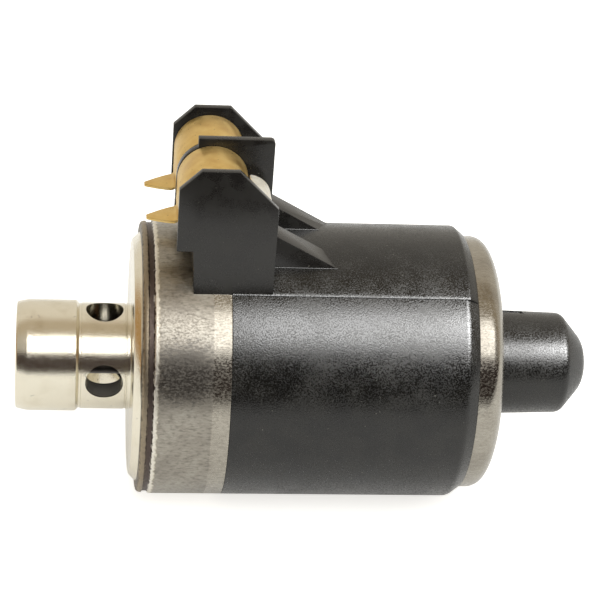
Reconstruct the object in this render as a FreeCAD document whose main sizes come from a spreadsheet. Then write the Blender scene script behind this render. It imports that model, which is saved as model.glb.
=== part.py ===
# Transmission shift solenoid, built from its separate pieces.
# X is the solenoid's axis, from the nose towards the end cap, and +Z is the side with the contacts.
# The origin is the centre of the flange's seat face, which rests on the valve body.
# Lengths are in millimetres and angles in degrees.
import FreeCAD, Part
import math
import os
import re
import Sketcher

doc = FreeCAD.newDocument("ShiftSolenoid")
sheet = doc.addObject("Spreadsheet::Sheet", "Sizes")

# Driving dimensions
SIZES = {
    # Nose: the tube that plugs into the valve body, with the flange behind it
    "pilot_radius": 6.12,
    "pilot_length": 5.35,
    "neck_radius": 5.85,
    "neck_length": 5.85,
    "tip_length": 1.23,
    "tip_drop": 0.27,
    "nose_bore_radius": 3.3,
    "cross_hole_radius": 2.04,
    "cross_hole_count": 4,
    "cross_hole_to_seat": 2.88,
    "flange_bevel": 0.95,
    "flange_thickness": 3.2,
    # Ball valve inside the nose
    "seat_inset": 1.4,
    "seat_length": 3.6,
    "orifice_radius": 1.3,
    "seat_rim_radius": 2.2,
    "ball_radius": 2.0,
    "rod_radius": 1.98,
    "rod_cup_radius": 1.6,
    "rod_cup_angle": 60,
    "rod_seat_depth": 4.0,
    "bush_length": 3.0,
    "running_clearance": 0.03,
    # Magnet: armature, guide tube, pole core and the flux ring round the armature
    "flux_ring_length": 6.6,
    "tube_bore_radius": 4.55,
    "tube_wall": 0.3,
    "tube_over_core": 9.02,
    "armature_clearance": 0.05,
    "armature_to_flange": 2.2,
    "armature_length": 12.0,
    "relief_groove_radius": 0.5,
    "relief_groove_count": 4,
    "stroke": 0.6,
    "end_clearance": 0.03,
    "shim_thickness": 0.15,
    "shim_radius": 4.3,
    "core_clearance": 0.02,
    "core_stub_radius": 3.6,
    "core_stub_length": 4.5,
    "spring_pocket_radius": 2.3,
    "spring_pocket_depth": 4.0,
    "spring_radius": 1.8,
    "spring_wire_radius": 0.24,
    "spring_turns": 5,
    "fit_clearance": 0.02,
    # Coil
    "bobbin_clearance": 0.05,
    "bobbin_wall": 1.0,
    "bobbin_flange_gap": 0.15,
    "bobbin_flange_thickness": 1.2,
    "winding_inset": 0.5,
    "tape_thickness": 0.2,
    "washer_height": 1.36,
    "washer_thickness": 0.4,
    "washer_width": 4.6,
    "lead_radius": 0.2,
    "lead_slack": 0.3,
    # Housing can: stepped, with its front lip rolled over the flange
    "can_radius": 15.07,
    "can_wall": 1.35,
    "lip_front_drop": 0.77,
    "lip_drop": 0.22,
    "lip_length": 1.4,
    "lip_groove_depth": 0.37,
    "shoulder_wall": 0.34,
    "can_step": 1.17,
    "can_rear_wall": 1.15,
    "can_length": 39.8,
    "can_end_wall": 1.3,
    "can_corner_length": 2.2,
    "can_corner_drop": 2.4,
    "can_corner_crown": 0.8,
    "can_inner_bevel": 1.2,
    # Terminal posts of the bobbin; heights are over the can's wide front
    "post_setback": 1.83,
    "post_height": 6.13,
    "post_head_radius": 2.45,
    "post_stem_half": 1.55,
    "post_inner_y": 2.0,
    "post_outer_y": 7.3,
    "post_clearance": 0.15,
    "slot_half_width": 0.35,
    "slot_bottom_height": 3.03,
    "pinch_half_height": 0.2,
    "pinch_clearance": 0.02,
    # Contacts: one bent brass strip each
    "strip_thickness": 0.3,
    "leg_offset": 0.07,
    "arch_height": 7.23,
    "arch_radius": 3.8,
    "strip_inner_y": 0.6,
    "strip_outer_y": 7.1,
    "leg_bottom_height": 3.43,
    "pivot_height": 5.73,
    "tongue_height": 4.48,
    "tongue_length": 3.13,
    "tongue_tip_drop": 0.35,
    "tongue_root_half": 2.03,
    "tongue_tip_half": 0.15,
    "tongue_bend_radius": 0.6,
    "tail_half_width": 1.7,
    # Connector sleeve: shell round the can, with the holder for the contacts
    "sleeve_to_can_end": 2.99,
    "sleeve_edge_length": 1.3,
    "sleeve_edge_drop": 1.1,
    "ridge_height": 0.12,
    "ridge_half_angle": 33.7,
    "ridge_end_gap": 0.1,
    "plate_outer_y": 8.3,
    "plate_inner_y": 7.45,
    "middle_half_y": 0.45,
    "holder_height": 11.78,
    "holder_front_margin": 0.03,
    "holder_rear_margin": 0.35,
    "left_slant_length": 2.25,
    "left_slant_drop": 2.2,
    "right_slant_length": 4.2,
    "right_slant_drop": 4.2,
    "step_height": 2.53,
    "step_length": 1.7,
    "foot_setback": 2.0,
    "floor_height": 1.93,
    "back_wall_thickness": 1.15,
    "back_wall_height": 3.23,
    "guard_margin": 0.25,
    "rib_inner_y": 2.2,
    "rib_outer_y": 5.2,
    "rib_height": 3.08,
    "rib_length": 6.9,
    # End cap
    "cap_root_radius": 5.75,
    "cap_shoulder_radius": 5.5,
    "cap_length": 8.0,
    "cap_cone_length": 2.7,
    "cap_tip_radius": 2.35,
    "cap_tip_round": 0.4,
    "cap_hollow_clearance": 0.05,
    "cap_notch_length": 2.4,
    "cap_notch_depth": 0.25,
    "cap_notch_width": 2.2,
}

for row, (word, number) in enumerate(SIZES.items(), start=1):
    sheet.set(f"A{row}", word)
    sheet.set(f"B{row}", str(number))
    sheet.setAlias(f"B{row}", word)
doc.recompute()


def cells(text):
    """Turn an expression in plain size names into one that reads the sheet."""
    return re.sub(r"[a-z_]+", lambda m: "Sizes." + m.group() if m.group() in SIZES else m.group(), text)


def value(text):
    """The number that an expression in size names gives."""
    return float(sheet.evalExpression(cells(text)))


def negative(text):
    return f"-({text})"


# Places along the axis, from the nose's tip to the sleeve's end
NOSE_TIP = "(-(neck_length + pilot_length + tip_length))"
PILOT_FRONT = "(-(neck_length + pilot_length))"
SEAT_FRONT = f"({NOSE_TIP} + seat_inset)"
SEAT_REAR = f"({SEAT_FRONT} + seat_length)"
BALL_TOUCH = "(ball_radius * cos(45))"
BALL_X = f"({SEAT_REAR} - seat_rim_radius + 2 * {BALL_TOUCH})"
CUP_TOUCH_X = f"({BALL_X} + ball_radius * sin(rod_cup_angle))"
CUP_TOUCH_R = "(ball_radius * cos(rod_cup_angle))"
CUP_SLOPE = "(cos(rod_cup_angle) / sin(rod_cup_angle))"
ROD_FRONT = f"({CUP_TOUCH_X} - (rod_cup_radius - {CUP_TOUCH_R}) * {CUP_SLOPE})"
CUP_BOTTOM = f"({CUP_TOUCH_X} + {CUP_TOUCH_R} * {CUP_SLOPE})"
ARMATURE_FRONT = "(flange_thickness + armature_to_flange)"
ARMATURE_REAR = f"({ARMATURE_FRONT} + armature_length)"
SHIM_FRONT = f"({ARMATURE_REAR} + stroke + end_clearance)"
CORE_FRONT = f"({SHIM_FRONT} + shim_thickness)"
TUBE_END = f"({CORE_FRONT} + tube_over_core)"
RING_END = "(flange_thickness + flux_ring_length)"
SHOULDER = f"({RING_END} + fit_clearance + shoulder_wall)"
CAN_INNER_END = "(can_length - can_end_wall)"
WASHER_END = f"({CAN_INNER_END} - fit_clearance)"
BOBBIN_FRONT = f"({RING_END} + fit_clearance)"
BOBBIN_END = f"({WASHER_END} - washer_height)"
COIL_FRONT = f"({BOBBIN_FRONT} + bobbin_flange_thickness)"
COIL_END = f"({BOBBIN_END} - bobbin_flange_thickness)"
SLEEVE_END = "(can_length - sleeve_to_can_end)"

# Radii, each from the can inwards or from the guide tube outwards
CAN_BORE = "(can_radius - can_wall)"
FLANGE_RADIUS = f"({CAN_BORE} - fit_clearance)"
CAN_REAR_RADIUS = "(can_radius - can_step)"
CAN_REAR_BORE = f"({CAN_REAR_RADIUS} - can_rear_wall)"
BOBBIN_FLANGE_RADIUS = f"({CAN_REAR_BORE} - bobbin_flange_gap)"
WINDING_RADIUS = f"({BOBBIN_FLANGE_RADIUS} - winding_inset)"
TAPE_RADIUS = f"({WINDING_RADIUS} + tape_thickness)"
ARMATURE_RADIUS = "(tube_bore_radius - armature_clearance)"
TUBE_RADIUS = "(tube_bore_radius + tube_wall)"
BOBBIN_BORE = f"({TUBE_RADIUS} + bobbin_clearance)"
HUB_RADIUS = f"({BOBBIN_BORE} + bobbin_wall)"

# Places in the connector, along the axis from the bobbin's front and up from the can
POST_X = f"({BOBBIN_FRONT} + post_setback)"
POST_Z = "(can_radius + post_height)"
POST_MIDDLE_Y = "((post_inner_y + post_outer_y) / 2)"
LEG_X = f"({POST_X} - leg_offset)"
LEG_BOTTOM = "(can_radius + leg_bottom_height)"
SLOT_BOTTOM = "(can_radius + slot_bottom_height)"
PIVOT_Z = "(can_radius + pivot_height)"
ARCH_X = f"({LEG_X} + strip_thickness / 2 - arch_radius)"
ARCH_Z = "(can_radius + arch_height)"
TONGUE_Z = "(can_radius + tongue_height)"
TONGUE_TIP = f"({ARCH_X} - arch_radius - tongue_length)"
HOLDER_FRONT = f"({ARCH_X} - arch_radius - holder_front_margin)"
HOLDER_REAR = f"({POST_X} + post_head_radius + holder_rear_margin)"
HOLDER_REAR_WALL = f"({HOLDER_REAR} - back_wall_thickness)"
HOLDER_TOP = "(can_radius + holder_height)"
LEFT_SLANT = f"({HOLDER_FRONT} + left_slant_length)"
STEP_Z = "(can_radius + step_height)"
FLOOR_Z = "(can_radius + floor_height)"
BACK_WALL_Z = "(can_radius + back_wall_height)"
RIB_TOP = "(can_radius + rib_height)"
RIB_END = f"({HOLDER_REAR} + rib_length)"


# Helpers that draw and build one feature at a time
def origin_feature(body, role):
    return next(item for item in body.Origin.OriginFeatures if item.Role == role)


def arc_edge(start, stop, radius, centre_side):
    """The shorter arc between two points, with its centre to the left (1) or right (-1) of the way."""
    way = stop - start
    height = math.sqrt(max(radius**2 - (way.Length / 2) ** 2, 0.0))
    left = FreeCAD.Vector(-way.y, way.x, 0).normalize()
    centre = (start + stop) / 2 + left * height * centre_side
    first, last = (start, stop) if centre_side > 0 else (stop, start)
    circle = Part.Circle(centre, FreeCAD.Vector(0, 0, 1), radius)
    return Part.ArcOfCircle(circle, circle.parameter(first), circle.parameter(last))


def outline(body, name, plane, corners, offset="0"):
    """A closed outline. A corner is (along, across), or with (radius, side) when an arc leaves it."""
    sketch = body.newObject("Sketcher::SketchObject", name)
    sketch.AttachmentSupport = [(origin_feature(body, plane), "")]
    sketch.MapMode = "FlatFace"
    sketch.setExpression(".AttachmentOffset.Base.z", cells(offset))
    spots = [FreeCAD.Vector(value(corner[0]), value(corner[1]), 0) for corner in corners]
    ends = []
    for index, corner in enumerate(corners):
        start = spots[index]
        stop = spots[(index + 1) % len(spots)]
        if len(corner) == 2:
            sketch.addGeometry(Part.LineSegment(start, stop))
            ends.append((1, 2))
            continue
        sketch.addGeometry(arc_edge(start, stop, value(corner[2]), corner[3]))
        ends.append((1, 2) if corner[3] > 0 else (2, 1))
        sketch.addConstraint(Sketcher.Constraint("Radius", index, value(corner[2])))
        sketch.renameConstraint(sketch.ConstraintCount - 1, f"radius{index}")
        sketch.setExpression(f"Constraints.radius{index}", cells(corner[2]))
    for index, corner in enumerate(corners):
        after = (index + 1) % len(corners)
        link = Sketcher.Constraint("Coincident", index, ends[index][1], after, ends[after][0])
        sketch.addConstraint(link)
        for kind, label, place in (("DistanceX", "along", corner[0]), ("DistanceY", "across", corner[1])):
            sketch.addConstraint(Sketcher.Constraint(kind, index, ends[index][0], value(place)))
            sketch.renameConstraint(sketch.ConstraintCount - 1, f"{label}{index}")
            sketch.setExpression(f"Constraints.{label}{index}", cells(place))
    return sketch


def round_outline(body, name, plane, along, across, radius, offset="0"):
    """A circle in a plane of the body."""
    sketch = body.newObject("Sketcher::SketchObject", name)
    sketch.AttachmentSupport = [(origin_feature(body, plane), "")]
    sketch.MapMode = "FlatFace"
    sketch.setExpression(".AttachmentOffset.Base.z", cells(offset))
    centre = FreeCAD.Vector(value(along), value(across), 0)
    sketch.addGeometry(Part.Circle(centre, FreeCAD.Vector(0, 0, 1), value(radius)))
    sketch.addConstraint(Sketcher.Constraint("DistanceX", 0, 3, centre.x))
    sketch.addConstraint(Sketcher.Constraint("DistanceY", 0, 3, centre.y))
    sketch.addConstraint(Sketcher.Constraint("Radius", 0, value(radius)))
    for index, place in enumerate((along, across, radius)):
        sketch.renameConstraint(index, f"size{index}")
        sketch.setExpression(f"Constraints.size{index}", cells(place))
    return sketch


def new_body(label):
    body = doc.addObject("PartDesign::Body", label)
    body.Label = label
    return body


def turned(body, name, corners, kind="Revolution"):
    """Turn an outline in the XZ plane round the solenoid's axis, as material or as a cut."""
    sketch = outline(body, f"{name}_outline", "XZ_Plane", corners)
    feature = body.newObject(f"PartDesign::{kind}", name)
    feature.Profile = sketch
    feature.ReferenceAxis = (sketch, ["H_Axis"])
    feature.Angle = 360
    doc.recompute()
    return feature


def pushed(body, name, sketch, length, kind="Pad", reverse=False):
    """Pad or pocket a sketch by a length."""
    feature = body.newObject(f"PartDesign::{kind}", name)
    feature.Profile = sketch
    feature.setExpression("Length", cells(length))
    feature.Reversed = reverse
    doc.recompute()
    return feature


def slab(body, name, corners, low_y, high_y, kind="Pad"):
    """An outline in the XZ plane, as material or as a cut from one Y to another."""
    sketch = outline(body, f"{name}_outline", "XZ_Plane", corners, offset=negative(high_y))
    return pushed(body, name, sketch, f"({high_y}) - ({low_y})", kind, reverse=(kind == "Pocket"))


def mirrored(body, name, features):
    """Repeat features on the other side of the XZ plane."""
    feature = body.newObject("PartDesign::Mirrored", name)
    feature.Originals = features
    feature.MirrorPlane = (origin_feature(body, "XZ_Plane"), [""])
    body.Tip = feature
    doc.recompute()
    return feature


def round_the_axis(body, name, features, count):
    """Repeat features evenly round the solenoid's axis."""
    feature = body.newObject("PartDesign::PolarPattern", name)
    feature.Originals = features
    feature.Axis = (origin_feature(body, "X_Axis"), [""])
    feature.Angle = 360
    feature.setExpression("Occurrences", cells(count))
    body.Tip = feature
    doc.recompute()
    return feature


def ring(label, front, rear, inner, outer):
    """A plain turned ring."""
    body = new_body(label)
    turned(body, f"{label}_ring", [(front, inner), (rear, inner), (rear, outer), (front, outer)])
    return body


def make_valve_nose():
    """Plated steel nose: pilot land, neck with cross holes, and the flange disc."""
    body = new_body("valve_nose")
    turned(body, "nose_turning", [
        (NOSE_TIP, "nose_bore_radius"),
        (NOSE_TIP, "pilot_radius - tip_drop"),
        (PILOT_FRONT, "pilot_radius"),
        ("-neck_length", "pilot_radius"),
        ("-neck_length", "neck_radius"),
        ("0", "neck_radius"),
        ("0", f"{FLANGE_RADIUS} - flange_bevel"),
        ("flange_bevel", FLANGE_RADIUS),
        ("flange_thickness", FLANGE_RADIUS),
        ("flange_thickness", "nose_bore_radius"),
    ])
    circle = round_outline(
        body, "cross_hole_outline", "XY_Plane", "-cross_hole_to_seat", "0", "cross_hole_radius"
    )
    hole = pushed(body, "cross_hole", circle, "pilot_radius", "Pocket", reverse=True)
    round_the_axis(body, "cross_holes", [hole], "cross_hole_count")
    return body


def make_valve_seat():
    """Seat ring pressed into the nose, with a cone that the ball closes."""
    body = new_body("valve_seat")
    cone_depth = "(seat_rim_radius - orifice_radius)"
    turned(body, "seat_turning", [
        (SEAT_FRONT, "orifice_radius"),
        (f"{SEAT_REAR} - {cone_depth}", "orifice_radius"),
        (SEAT_REAR, "seat_rim_radius"),
        (SEAT_REAR, "nose_bore_radius"),
        (SEAT_FRONT, "nose_bore_radius"),
    ])
    return body


def make_valve_ball():
    ball = doc.addObject("Part::Sphere", "valve_ball")
    ball.Label = "valve_ball"
    ball.setExpression("Radius", cells("ball_radius"))
    ball.setExpression("Placement.Base.x", cells(BALL_X))
    return ball


def make_push_rod():
    """Rod with a cup for the ball, pressed into the armature."""
    body = new_body("push_rod")
    turned(body, "rod_turning", [
        (CUP_BOTTOM, "0"),
        (ROD_FRONT, "rod_cup_radius"),
        (ROD_FRONT, "rod_radius"),
        (f"{ARMATURE_FRONT} + rod_seat_depth", "rod_radius"),
        (f"{ARMATURE_FRONT} + rod_seat_depth", "0"),
    ])
    return body


def make_armature():
    """Soft iron armature with relief grooves, the rod's bore and the spring's pocket."""
    body = new_body("armature")
    turned(body, "armature_turning", [
        (ARMATURE_FRONT, "rod_radius"),
        (f"{ARMATURE_FRONT} + rod_seat_depth", "rod_radius"),
        (f"{ARMATURE_FRONT} + rod_seat_depth", "0"),
        (f"{ARMATURE_REAR} - spring_pocket_depth", "0"),
        (f"{ARMATURE_REAR} - spring_pocket_depth", "spring_pocket_radius"),
        (ARMATURE_REAR, "spring_pocket_radius"),
        (ARMATURE_REAR, ARMATURE_RADIUS),
        (ARMATURE_FRONT, ARMATURE_RADIUS),
    ])
    circle = round_outline(
        body, "relief_outline", "YZ_Plane", "0", ARMATURE_RADIUS, "relief_groove_radius",
        offset=ARMATURE_FRONT,
    )
    groove = pushed(body, "relief_groove", circle, "armature_length", "Pocket", reverse=True)
    round_the_axis(body, "relief_grooves", [groove], "relief_groove_count")
    return body


def make_pole_core():
    """Fixed core: its front end in the guide tube, its shoulder behind it, its stub in the cap."""
    body = new_body("pole_core")
    front_radius = "(tube_bore_radius - core_clearance)"
    turned(body, "core_turning", [
        (CORE_FRONT, "spring_pocket_radius"),
        (f"{CORE_FRONT} + spring_pocket_depth", "spring_pocket_radius"),
        (f"{CORE_FRONT} + spring_pocket_depth", "0"),
        ("can_length + core_stub_length", "0"),
        ("can_length + core_stub_length", "core_stub_radius"),
        (CAN_INNER_END, "core_stub_radius"),
        (CAN_INNER_END, TUBE_RADIUS),
        (TUBE_END, TUBE_RADIUS),
        (TUBE_END, front_radius),
        (CORE_FRONT, front_radius),
    ])
    return body


def make_return_spring():
    """Compression spring between the pockets of the armature and the core, its wire six-sided."""
    front = value(f"{ARMATURE_REAR} - spring_pocket_depth")
    rear = value(f"{CORE_FRONT} + spring_pocket_depth")
    wire = value("spring_wire_radius")
    radius = value("spring_radius")
    flat_half = wire * math.cos(math.radians(30))
    height = rear - front - 2 * flat_half - 2 * value("end_clearance")
    helix = Part.makeHelix(height / value("spring_turns"), height, radius)
    corners = []
    for step in range(7):
        angle = math.radians(60 * step)
        corners.append(FreeCAD.Vector(radius + wire * math.cos(angle), 0, wire * math.sin(angle)))
    section = Part.makePolygon(corners)
    coil = Part.Wire(helix.Edges).makePipeShell([section], True, True)
    spring = doc.addObject("Part::Feature", "return_spring")
    spring.Label = "return_spring"
    spring.Shape = coil
    turn = FreeCAD.Rotation(FreeCAD.Vector(0, 1, 0), 90)
    place = FreeCAD.Vector(front + flat_half + value("end_clearance"), 0, 0)
    spring.Placement = FreeCAD.Placement(place, turn)
    return spring


def make_preload_washer():
    """Conical spring washer that takes up the coil's end play."""
    body = new_body("preload_washer")
    inner = f"({TUBE_RADIUS} + fit_clearance)"
    outer = f"({inner} + washer_width)"
    turned(body, "washer_turning", [
        (BOBBIN_END, outer),
        (f"{WASHER_END} - washer_thickness", inner),
        (WASHER_END, inner),
        (f"{BOBBIN_END} + washer_thickness", outer),
    ])
    return body


def post_outline():
    """Terminal post from the side: stem and rounded head, cut by the slot for the contact's leg."""
    left = f"({POST_X} - post_stem_half)"
    right = f"({POST_X} + post_stem_half)"
    neck_z = f"({POST_Z} - sqrt(post_head_radius^2 - post_stem_half^2))"
    foot_z = f"({BOBBIN_FLANGE_RADIUS} + post_clearance)"
    slot_right = f"({LEG_X} + slot_half_width)"
    mouth_left = f"({LEG_X} - 2 * slot_half_width)"
    pinch = "(strip_thickness / 2 + pinch_clearance)"

    def head_z(x):
        return f"({POST_Z} + sqrt(post_head_radius^2 - ({x} - {POST_X})^2))"

    head_left = f"({POST_X} - post_head_radius)"
    head_right = f"({POST_X} + post_head_radius)"
    return [
        (BOBBIN_FRONT, HUB_RADIUS),
        (COIL_FRONT, HUB_RADIUS),
        (COIL_FRONT, foot_z),
        (right, foot_z),
        (right, neck_z, "post_head_radius", 1),
        (head_right, POST_Z, "post_head_radius", 1),
        (f"{LEG_X} + {pinch}", head_z(f"({LEG_X} + {pinch})")),
        (f"{LEG_X} + {pinch}", f"{PIVOT_Z} - pinch_half_height"),
        (slot_right, f"{PIVOT_Z} - pinch_half_height"),
        (slot_right, SLOT_BOTTOM),
        (f"{LEG_X} - {pinch}", SLOT_BOTTOM),
        (f"{LEG_X} - {pinch}", f"{PIVOT_Z} + pinch_half_height"),
        (mouth_left, f"{PIVOT_Z} + pinch_half_height"),
        (mouth_left, head_z(mouth_left), "post_head_radius", 1),
        (head_left, POST_Z, "post_head_radius", 1),
        (left, neck_z),
        (BOBBIN_FRONT, neck_z),
    ]


def make_coil_bobbin():
    """Natural plastic spool with a terminal post for each contact."""
    body = new_body("coil_bobbin")
    turned(body, "spool_turning", [
        (BOBBIN_FRONT, BOBBIN_BORE),
        (BOBBIN_END, BOBBIN_BORE),
        (BOBBIN_END, BOBBIN_FLANGE_RADIUS),
        (COIL_END, BOBBIN_FLANGE_RADIUS),
        (COIL_END, HUB_RADIUS),
        (COIL_FRONT, HUB_RADIUS),
        (COIL_FRONT, BOBBIN_FLANGE_RADIUS),
        (BOBBIN_FRONT, BOBBIN_FLANGE_RADIUS),
    ])
    post = slab(body, "post", post_outline(), "post_inner_y", "post_outer_y")
    lead_way = round_outline(body, "lead_outline", "XY_Plane", LEG_X, POST_MIDDLE_Y, "1.2 * lead_radius")
    drilled = pushed(body, "lead_way", lead_way, f"{SLOT_BOTTOM} + lead_slack", "Pocket", reverse=True)
    mirrored(body, "posts", [post, drilled])
    return body


def make_coil_lead(label, side):
    """Straight end of the winding's wire, up through the post to the contact's leg."""
    lead = doc.addObject("Part::Cylinder", label)
    lead.Label = label
    wire_z = f"sqrt({TAPE_RADIUS}^2 - (post_inner_y)^2)"
    lead.setExpression("Radius", cells("lead_radius"))
    lead.setExpression("Height", cells(f"{LEG_BOTTOM} - lead_slack - {wire_z}"))
    lead.setExpression("Placement.Base.x", cells(LEG_X))
    lead.setExpression("Placement.Base.y", cells(f"{side} * {POST_MIDDLE_Y}"))
    lead.setExpression("Placement.Base.z", cells(wire_z))
    return lead


def make_housing_can():
    """Deep-drawn stepped can: rolled front lip, wide front, narrower rear and rounded end."""
    body = new_body("housing_can")
    lip_front = "(flange_bevel + fit_clearance)"
    lip_middle = "(flange_bevel + lip_length / 2)"
    lip_end = "(flange_bevel + lip_length)"
    groove_floor = "(can_radius - lip_groove_depth)"
    hole_radius = "(core_stub_radius + fit_clearance)"
    turned(body, "can_turning", [
        (lip_front, CAN_BORE),
        (lip_front, "can_radius - lip_front_drop"),
        (lip_middle, "can_radius - lip_drop"),
        (lip_middle, groove_floor),
        (lip_end, groove_floor),
        (lip_end, "can_radius"),
        (SHOULDER, "can_radius"),
        (SHOULDER, CAN_REAR_RADIUS),
        ("can_length - can_corner_length", CAN_REAR_RADIUS),
        ("can_length - can_corner_crown", f"{CAN_REAR_RADIUS} - can_corner_crown"),
        ("can_length", f"{CAN_REAR_RADIUS} - can_corner_drop"),
        ("can_length", hole_radius),
        (CAN_INNER_END, hole_radius),
        (CAN_INNER_END, f"{CAN_REAR_BORE} - can_inner_bevel"),
        (f"{CAN_INNER_END} - can_inner_bevel", CAN_REAR_BORE),
        (f"{RING_END} + fit_clearance", CAN_REAR_BORE),
        (f"{RING_END} + fit_clearance", CAN_BORE),
    ])
    window_front = f"{BOBBIN_FRONT} - post_clearance"
    window_rear = f"{POST_X} + post_stem_half + post_clearance"
    window_side = "(post_outer_y + post_clearance)"
    window = outline(body, "window_outline", "XY_Plane", [
        (window_front, negative(window_side)),
        (window_rear, negative(window_side)),
        (window_rear, window_side),
        (window_front, window_side),
    ])
    pushed(body, "terminal_window", window, "can_radius", "Pocket", reverse=True)
    return body


def outer_plate():
    return [
        (HOLDER_FRONT, STEP_Z),
        (f"{HOLDER_FRONT} + step_length", STEP_Z),
        (f"{HOLDER_FRONT} + foot_setback", f"{CAN_REAR_RADIUS} / 2"),
        (HOLDER_REAR, f"{CAN_REAR_RADIUS} / 2"),
        (HOLDER_REAR, f"{HOLDER_TOP} - right_slant_drop"),
        (f"{HOLDER_REAR} - right_slant_length", HOLDER_TOP),
        (LEFT_SLANT, HOLDER_TOP),
        (HOLDER_FRONT, f"{HOLDER_TOP} - left_slant_drop"),
    ]


def middle_plate():
    guard = "(arch_radius + guard_margin)"
    guard_z = f"({ARCH_Z} + sqrt({guard}^2 - ({ARCH_X} - {LEFT_SLANT})^2))"
    return [
        (HOLDER_FRONT, STEP_Z),
        (f"{HOLDER_FRONT} + step_length", STEP_Z),
        (f"{HOLDER_FRONT} + foot_setback", f"{CAN_REAR_RADIUS} / 2"),
        (HOLDER_REAR, f"{CAN_REAR_RADIUS} / 2"),
        (HOLDER_REAR, HOLDER_TOP),
        (LEFT_SLANT, HOLDER_TOP),
        (LEFT_SLANT, guard_z, guard, 1),
        (f"{ARCH_X} - {guard}", ARCH_Z),
    ]


def make_connector_sleeve():
    """Moulded shell with the contact holder: three plates, bays, back wall and two ribs."""
    body = new_body("connector_sleeve")
    slab(body, "holder_block", outer_plate(), "-plate_outer_y", "plate_outer_y")
    slab(body, "bay", [
        (f"{HOLDER_FRONT} - plate_outer_y", FLOOR_Z),
        (HOLDER_REAR_WALL, FLOOR_Z),
        (HOLDER_REAR_WALL, BACK_WALL_Z),
        (f"{HOLDER_REAR} + plate_outer_y", BACK_WALL_Z),
        (f"{HOLDER_REAR} + plate_outer_y", f"{HOLDER_TOP} + plate_outer_y"),
        (f"{HOLDER_FRONT} - plate_outer_y", f"{HOLDER_TOP} + plate_outer_y"),
    ], "-plate_inner_y", "plate_inner_y", "Pocket")
    slab(body, "middle_plate", middle_plate(), "-middle_half_y", "middle_half_y")
    edge_radius = "(can_radius - sleeve_edge_drop)"
    turned(body, "shell", [
        (SHOULDER, CAN_REAR_RADIUS),
        (SLEEVE_END, CAN_REAR_RADIUS),
        (SLEEVE_END, edge_radius),
        (f"{SLEEVE_END} - sleeve_edge_length", "can_radius"),
        (SHOULDER, "can_radius"),
    ])
    ridge_outline = outline(body, "ridge_outline", "XZ_Plane", [
        (SHOULDER, f"{CAN_REAR_RADIUS} + ridge_height"),
        (f"{SLEEVE_END} - ridge_end_gap", f"{CAN_REAR_RADIUS} + ridge_height"),
        (f"{SLEEVE_END} - ridge_end_gap", f"{edge_radius} + 2 * ridge_height"),
        (f"{SLEEVE_END} - sleeve_edge_length", "can_radius + ridge_height"),
        (SHOULDER, "can_radius + ridge_height"),
    ])
    ridge = body.newObject("PartDesign::Revolution", "ridge")
    ridge.Profile = ridge_outline
    ridge.ReferenceAxis = (ridge_outline, ["H_Axis"])
    ridge.setExpression("Angle", cells("2 * ridge_half_angle"))
    ridge.Midplane = True
    doc.recompute()
    rib = slab(body, "rib", [
        (HOLDER_REAR_WALL, f"{CAN_REAR_RADIUS} / 2"),
        (RIB_END, f"{CAN_REAR_RADIUS} / 2"),
        (RIB_END, "sqrt(can_radius^2 - rib_outer_y^2) - ridge_height"),
        (HOLDER_REAR, RIB_TOP),
        (HOLDER_REAR_WALL, RIB_TOP),
    ], "rib_inner_y", "rib_outer_y")
    mirrored(body, "ribs", [rib])
    turned(body, "bore", [
        ("0", "0"),
        ("can_length", "0"),
        ("can_length", f"{CAN_REAR_RADIUS} + fit_clearance"),
        (SHOULDER, f"{CAN_REAR_RADIUS} + fit_clearance"),
        (SHOULDER, "can_radius + fit_clearance"),
        ("0", "can_radius + fit_clearance"),
    ], "Groove")
    way_front = f"{BOBBIN_FRONT} - post_clearance"
    way_rear = f"{POST_X} + post_stem_half + post_clearance"
    opening = outline(body, "post_way_outline", "XY_Plane", [
        (way_front, "post_inner_y - post_clearance"),
        (way_rear, "post_inner_y - post_clearance"),
        (way_rear, "plate_inner_y"),
        (way_front, "plate_inner_y"),
    ])
    way = pushed(body, "post_way", opening, BACK_WALL_Z, "Pocket", reverse=True)
    mirrored(body, "post_ways", [way])
    return body


def contact_outline():
    """Contact from the side: tongue, left leg, arch and the leg that stands in the post."""
    outer = "arch_radius"
    inner = "(arch_radius - strip_thickness)"
    bend = "tongue_bend_radius"
    small = "(tongue_bend_radius - strip_thickness)"
    left_out = f"({ARCH_X} - arch_radius)"
    left_in = f"({left_out} + strip_thickness)"
    right_out = f"({ARCH_X} + arch_radius)"
    right_in = f"({right_out} - strip_thickness)"
    bend_x = f"({left_in} - {bend})"
    low_z = f"({TONGUE_Z} - strip_thickness)"
    return [
        (bend_x, low_z, bend, 1),
        (left_in, f"{low_z} + {bend}"),
        (left_in, ARCH_Z, inner, -1),
        (ARCH_X, f"{ARCH_Z} + {inner}", inner, -1),
        (right_in, ARCH_Z),
        (right_in, LEG_BOTTOM),
        (right_out, LEG_BOTTOM),
        (right_out, ARCH_Z, outer, 1),
        (ARCH_X, f"{ARCH_Z} + arch_radius", outer, 1),
        (left_out, ARCH_Z),
        (left_out, f"{TONGUE_Z} + {small}", small, -1),
        (bend_x, TONGUE_Z),
        (TONGUE_TIP, f"{TONGUE_Z} - tongue_tip_drop"),
        (TONGUE_TIP, f"{low_z} - tongue_tip_drop"),
    ]


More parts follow.
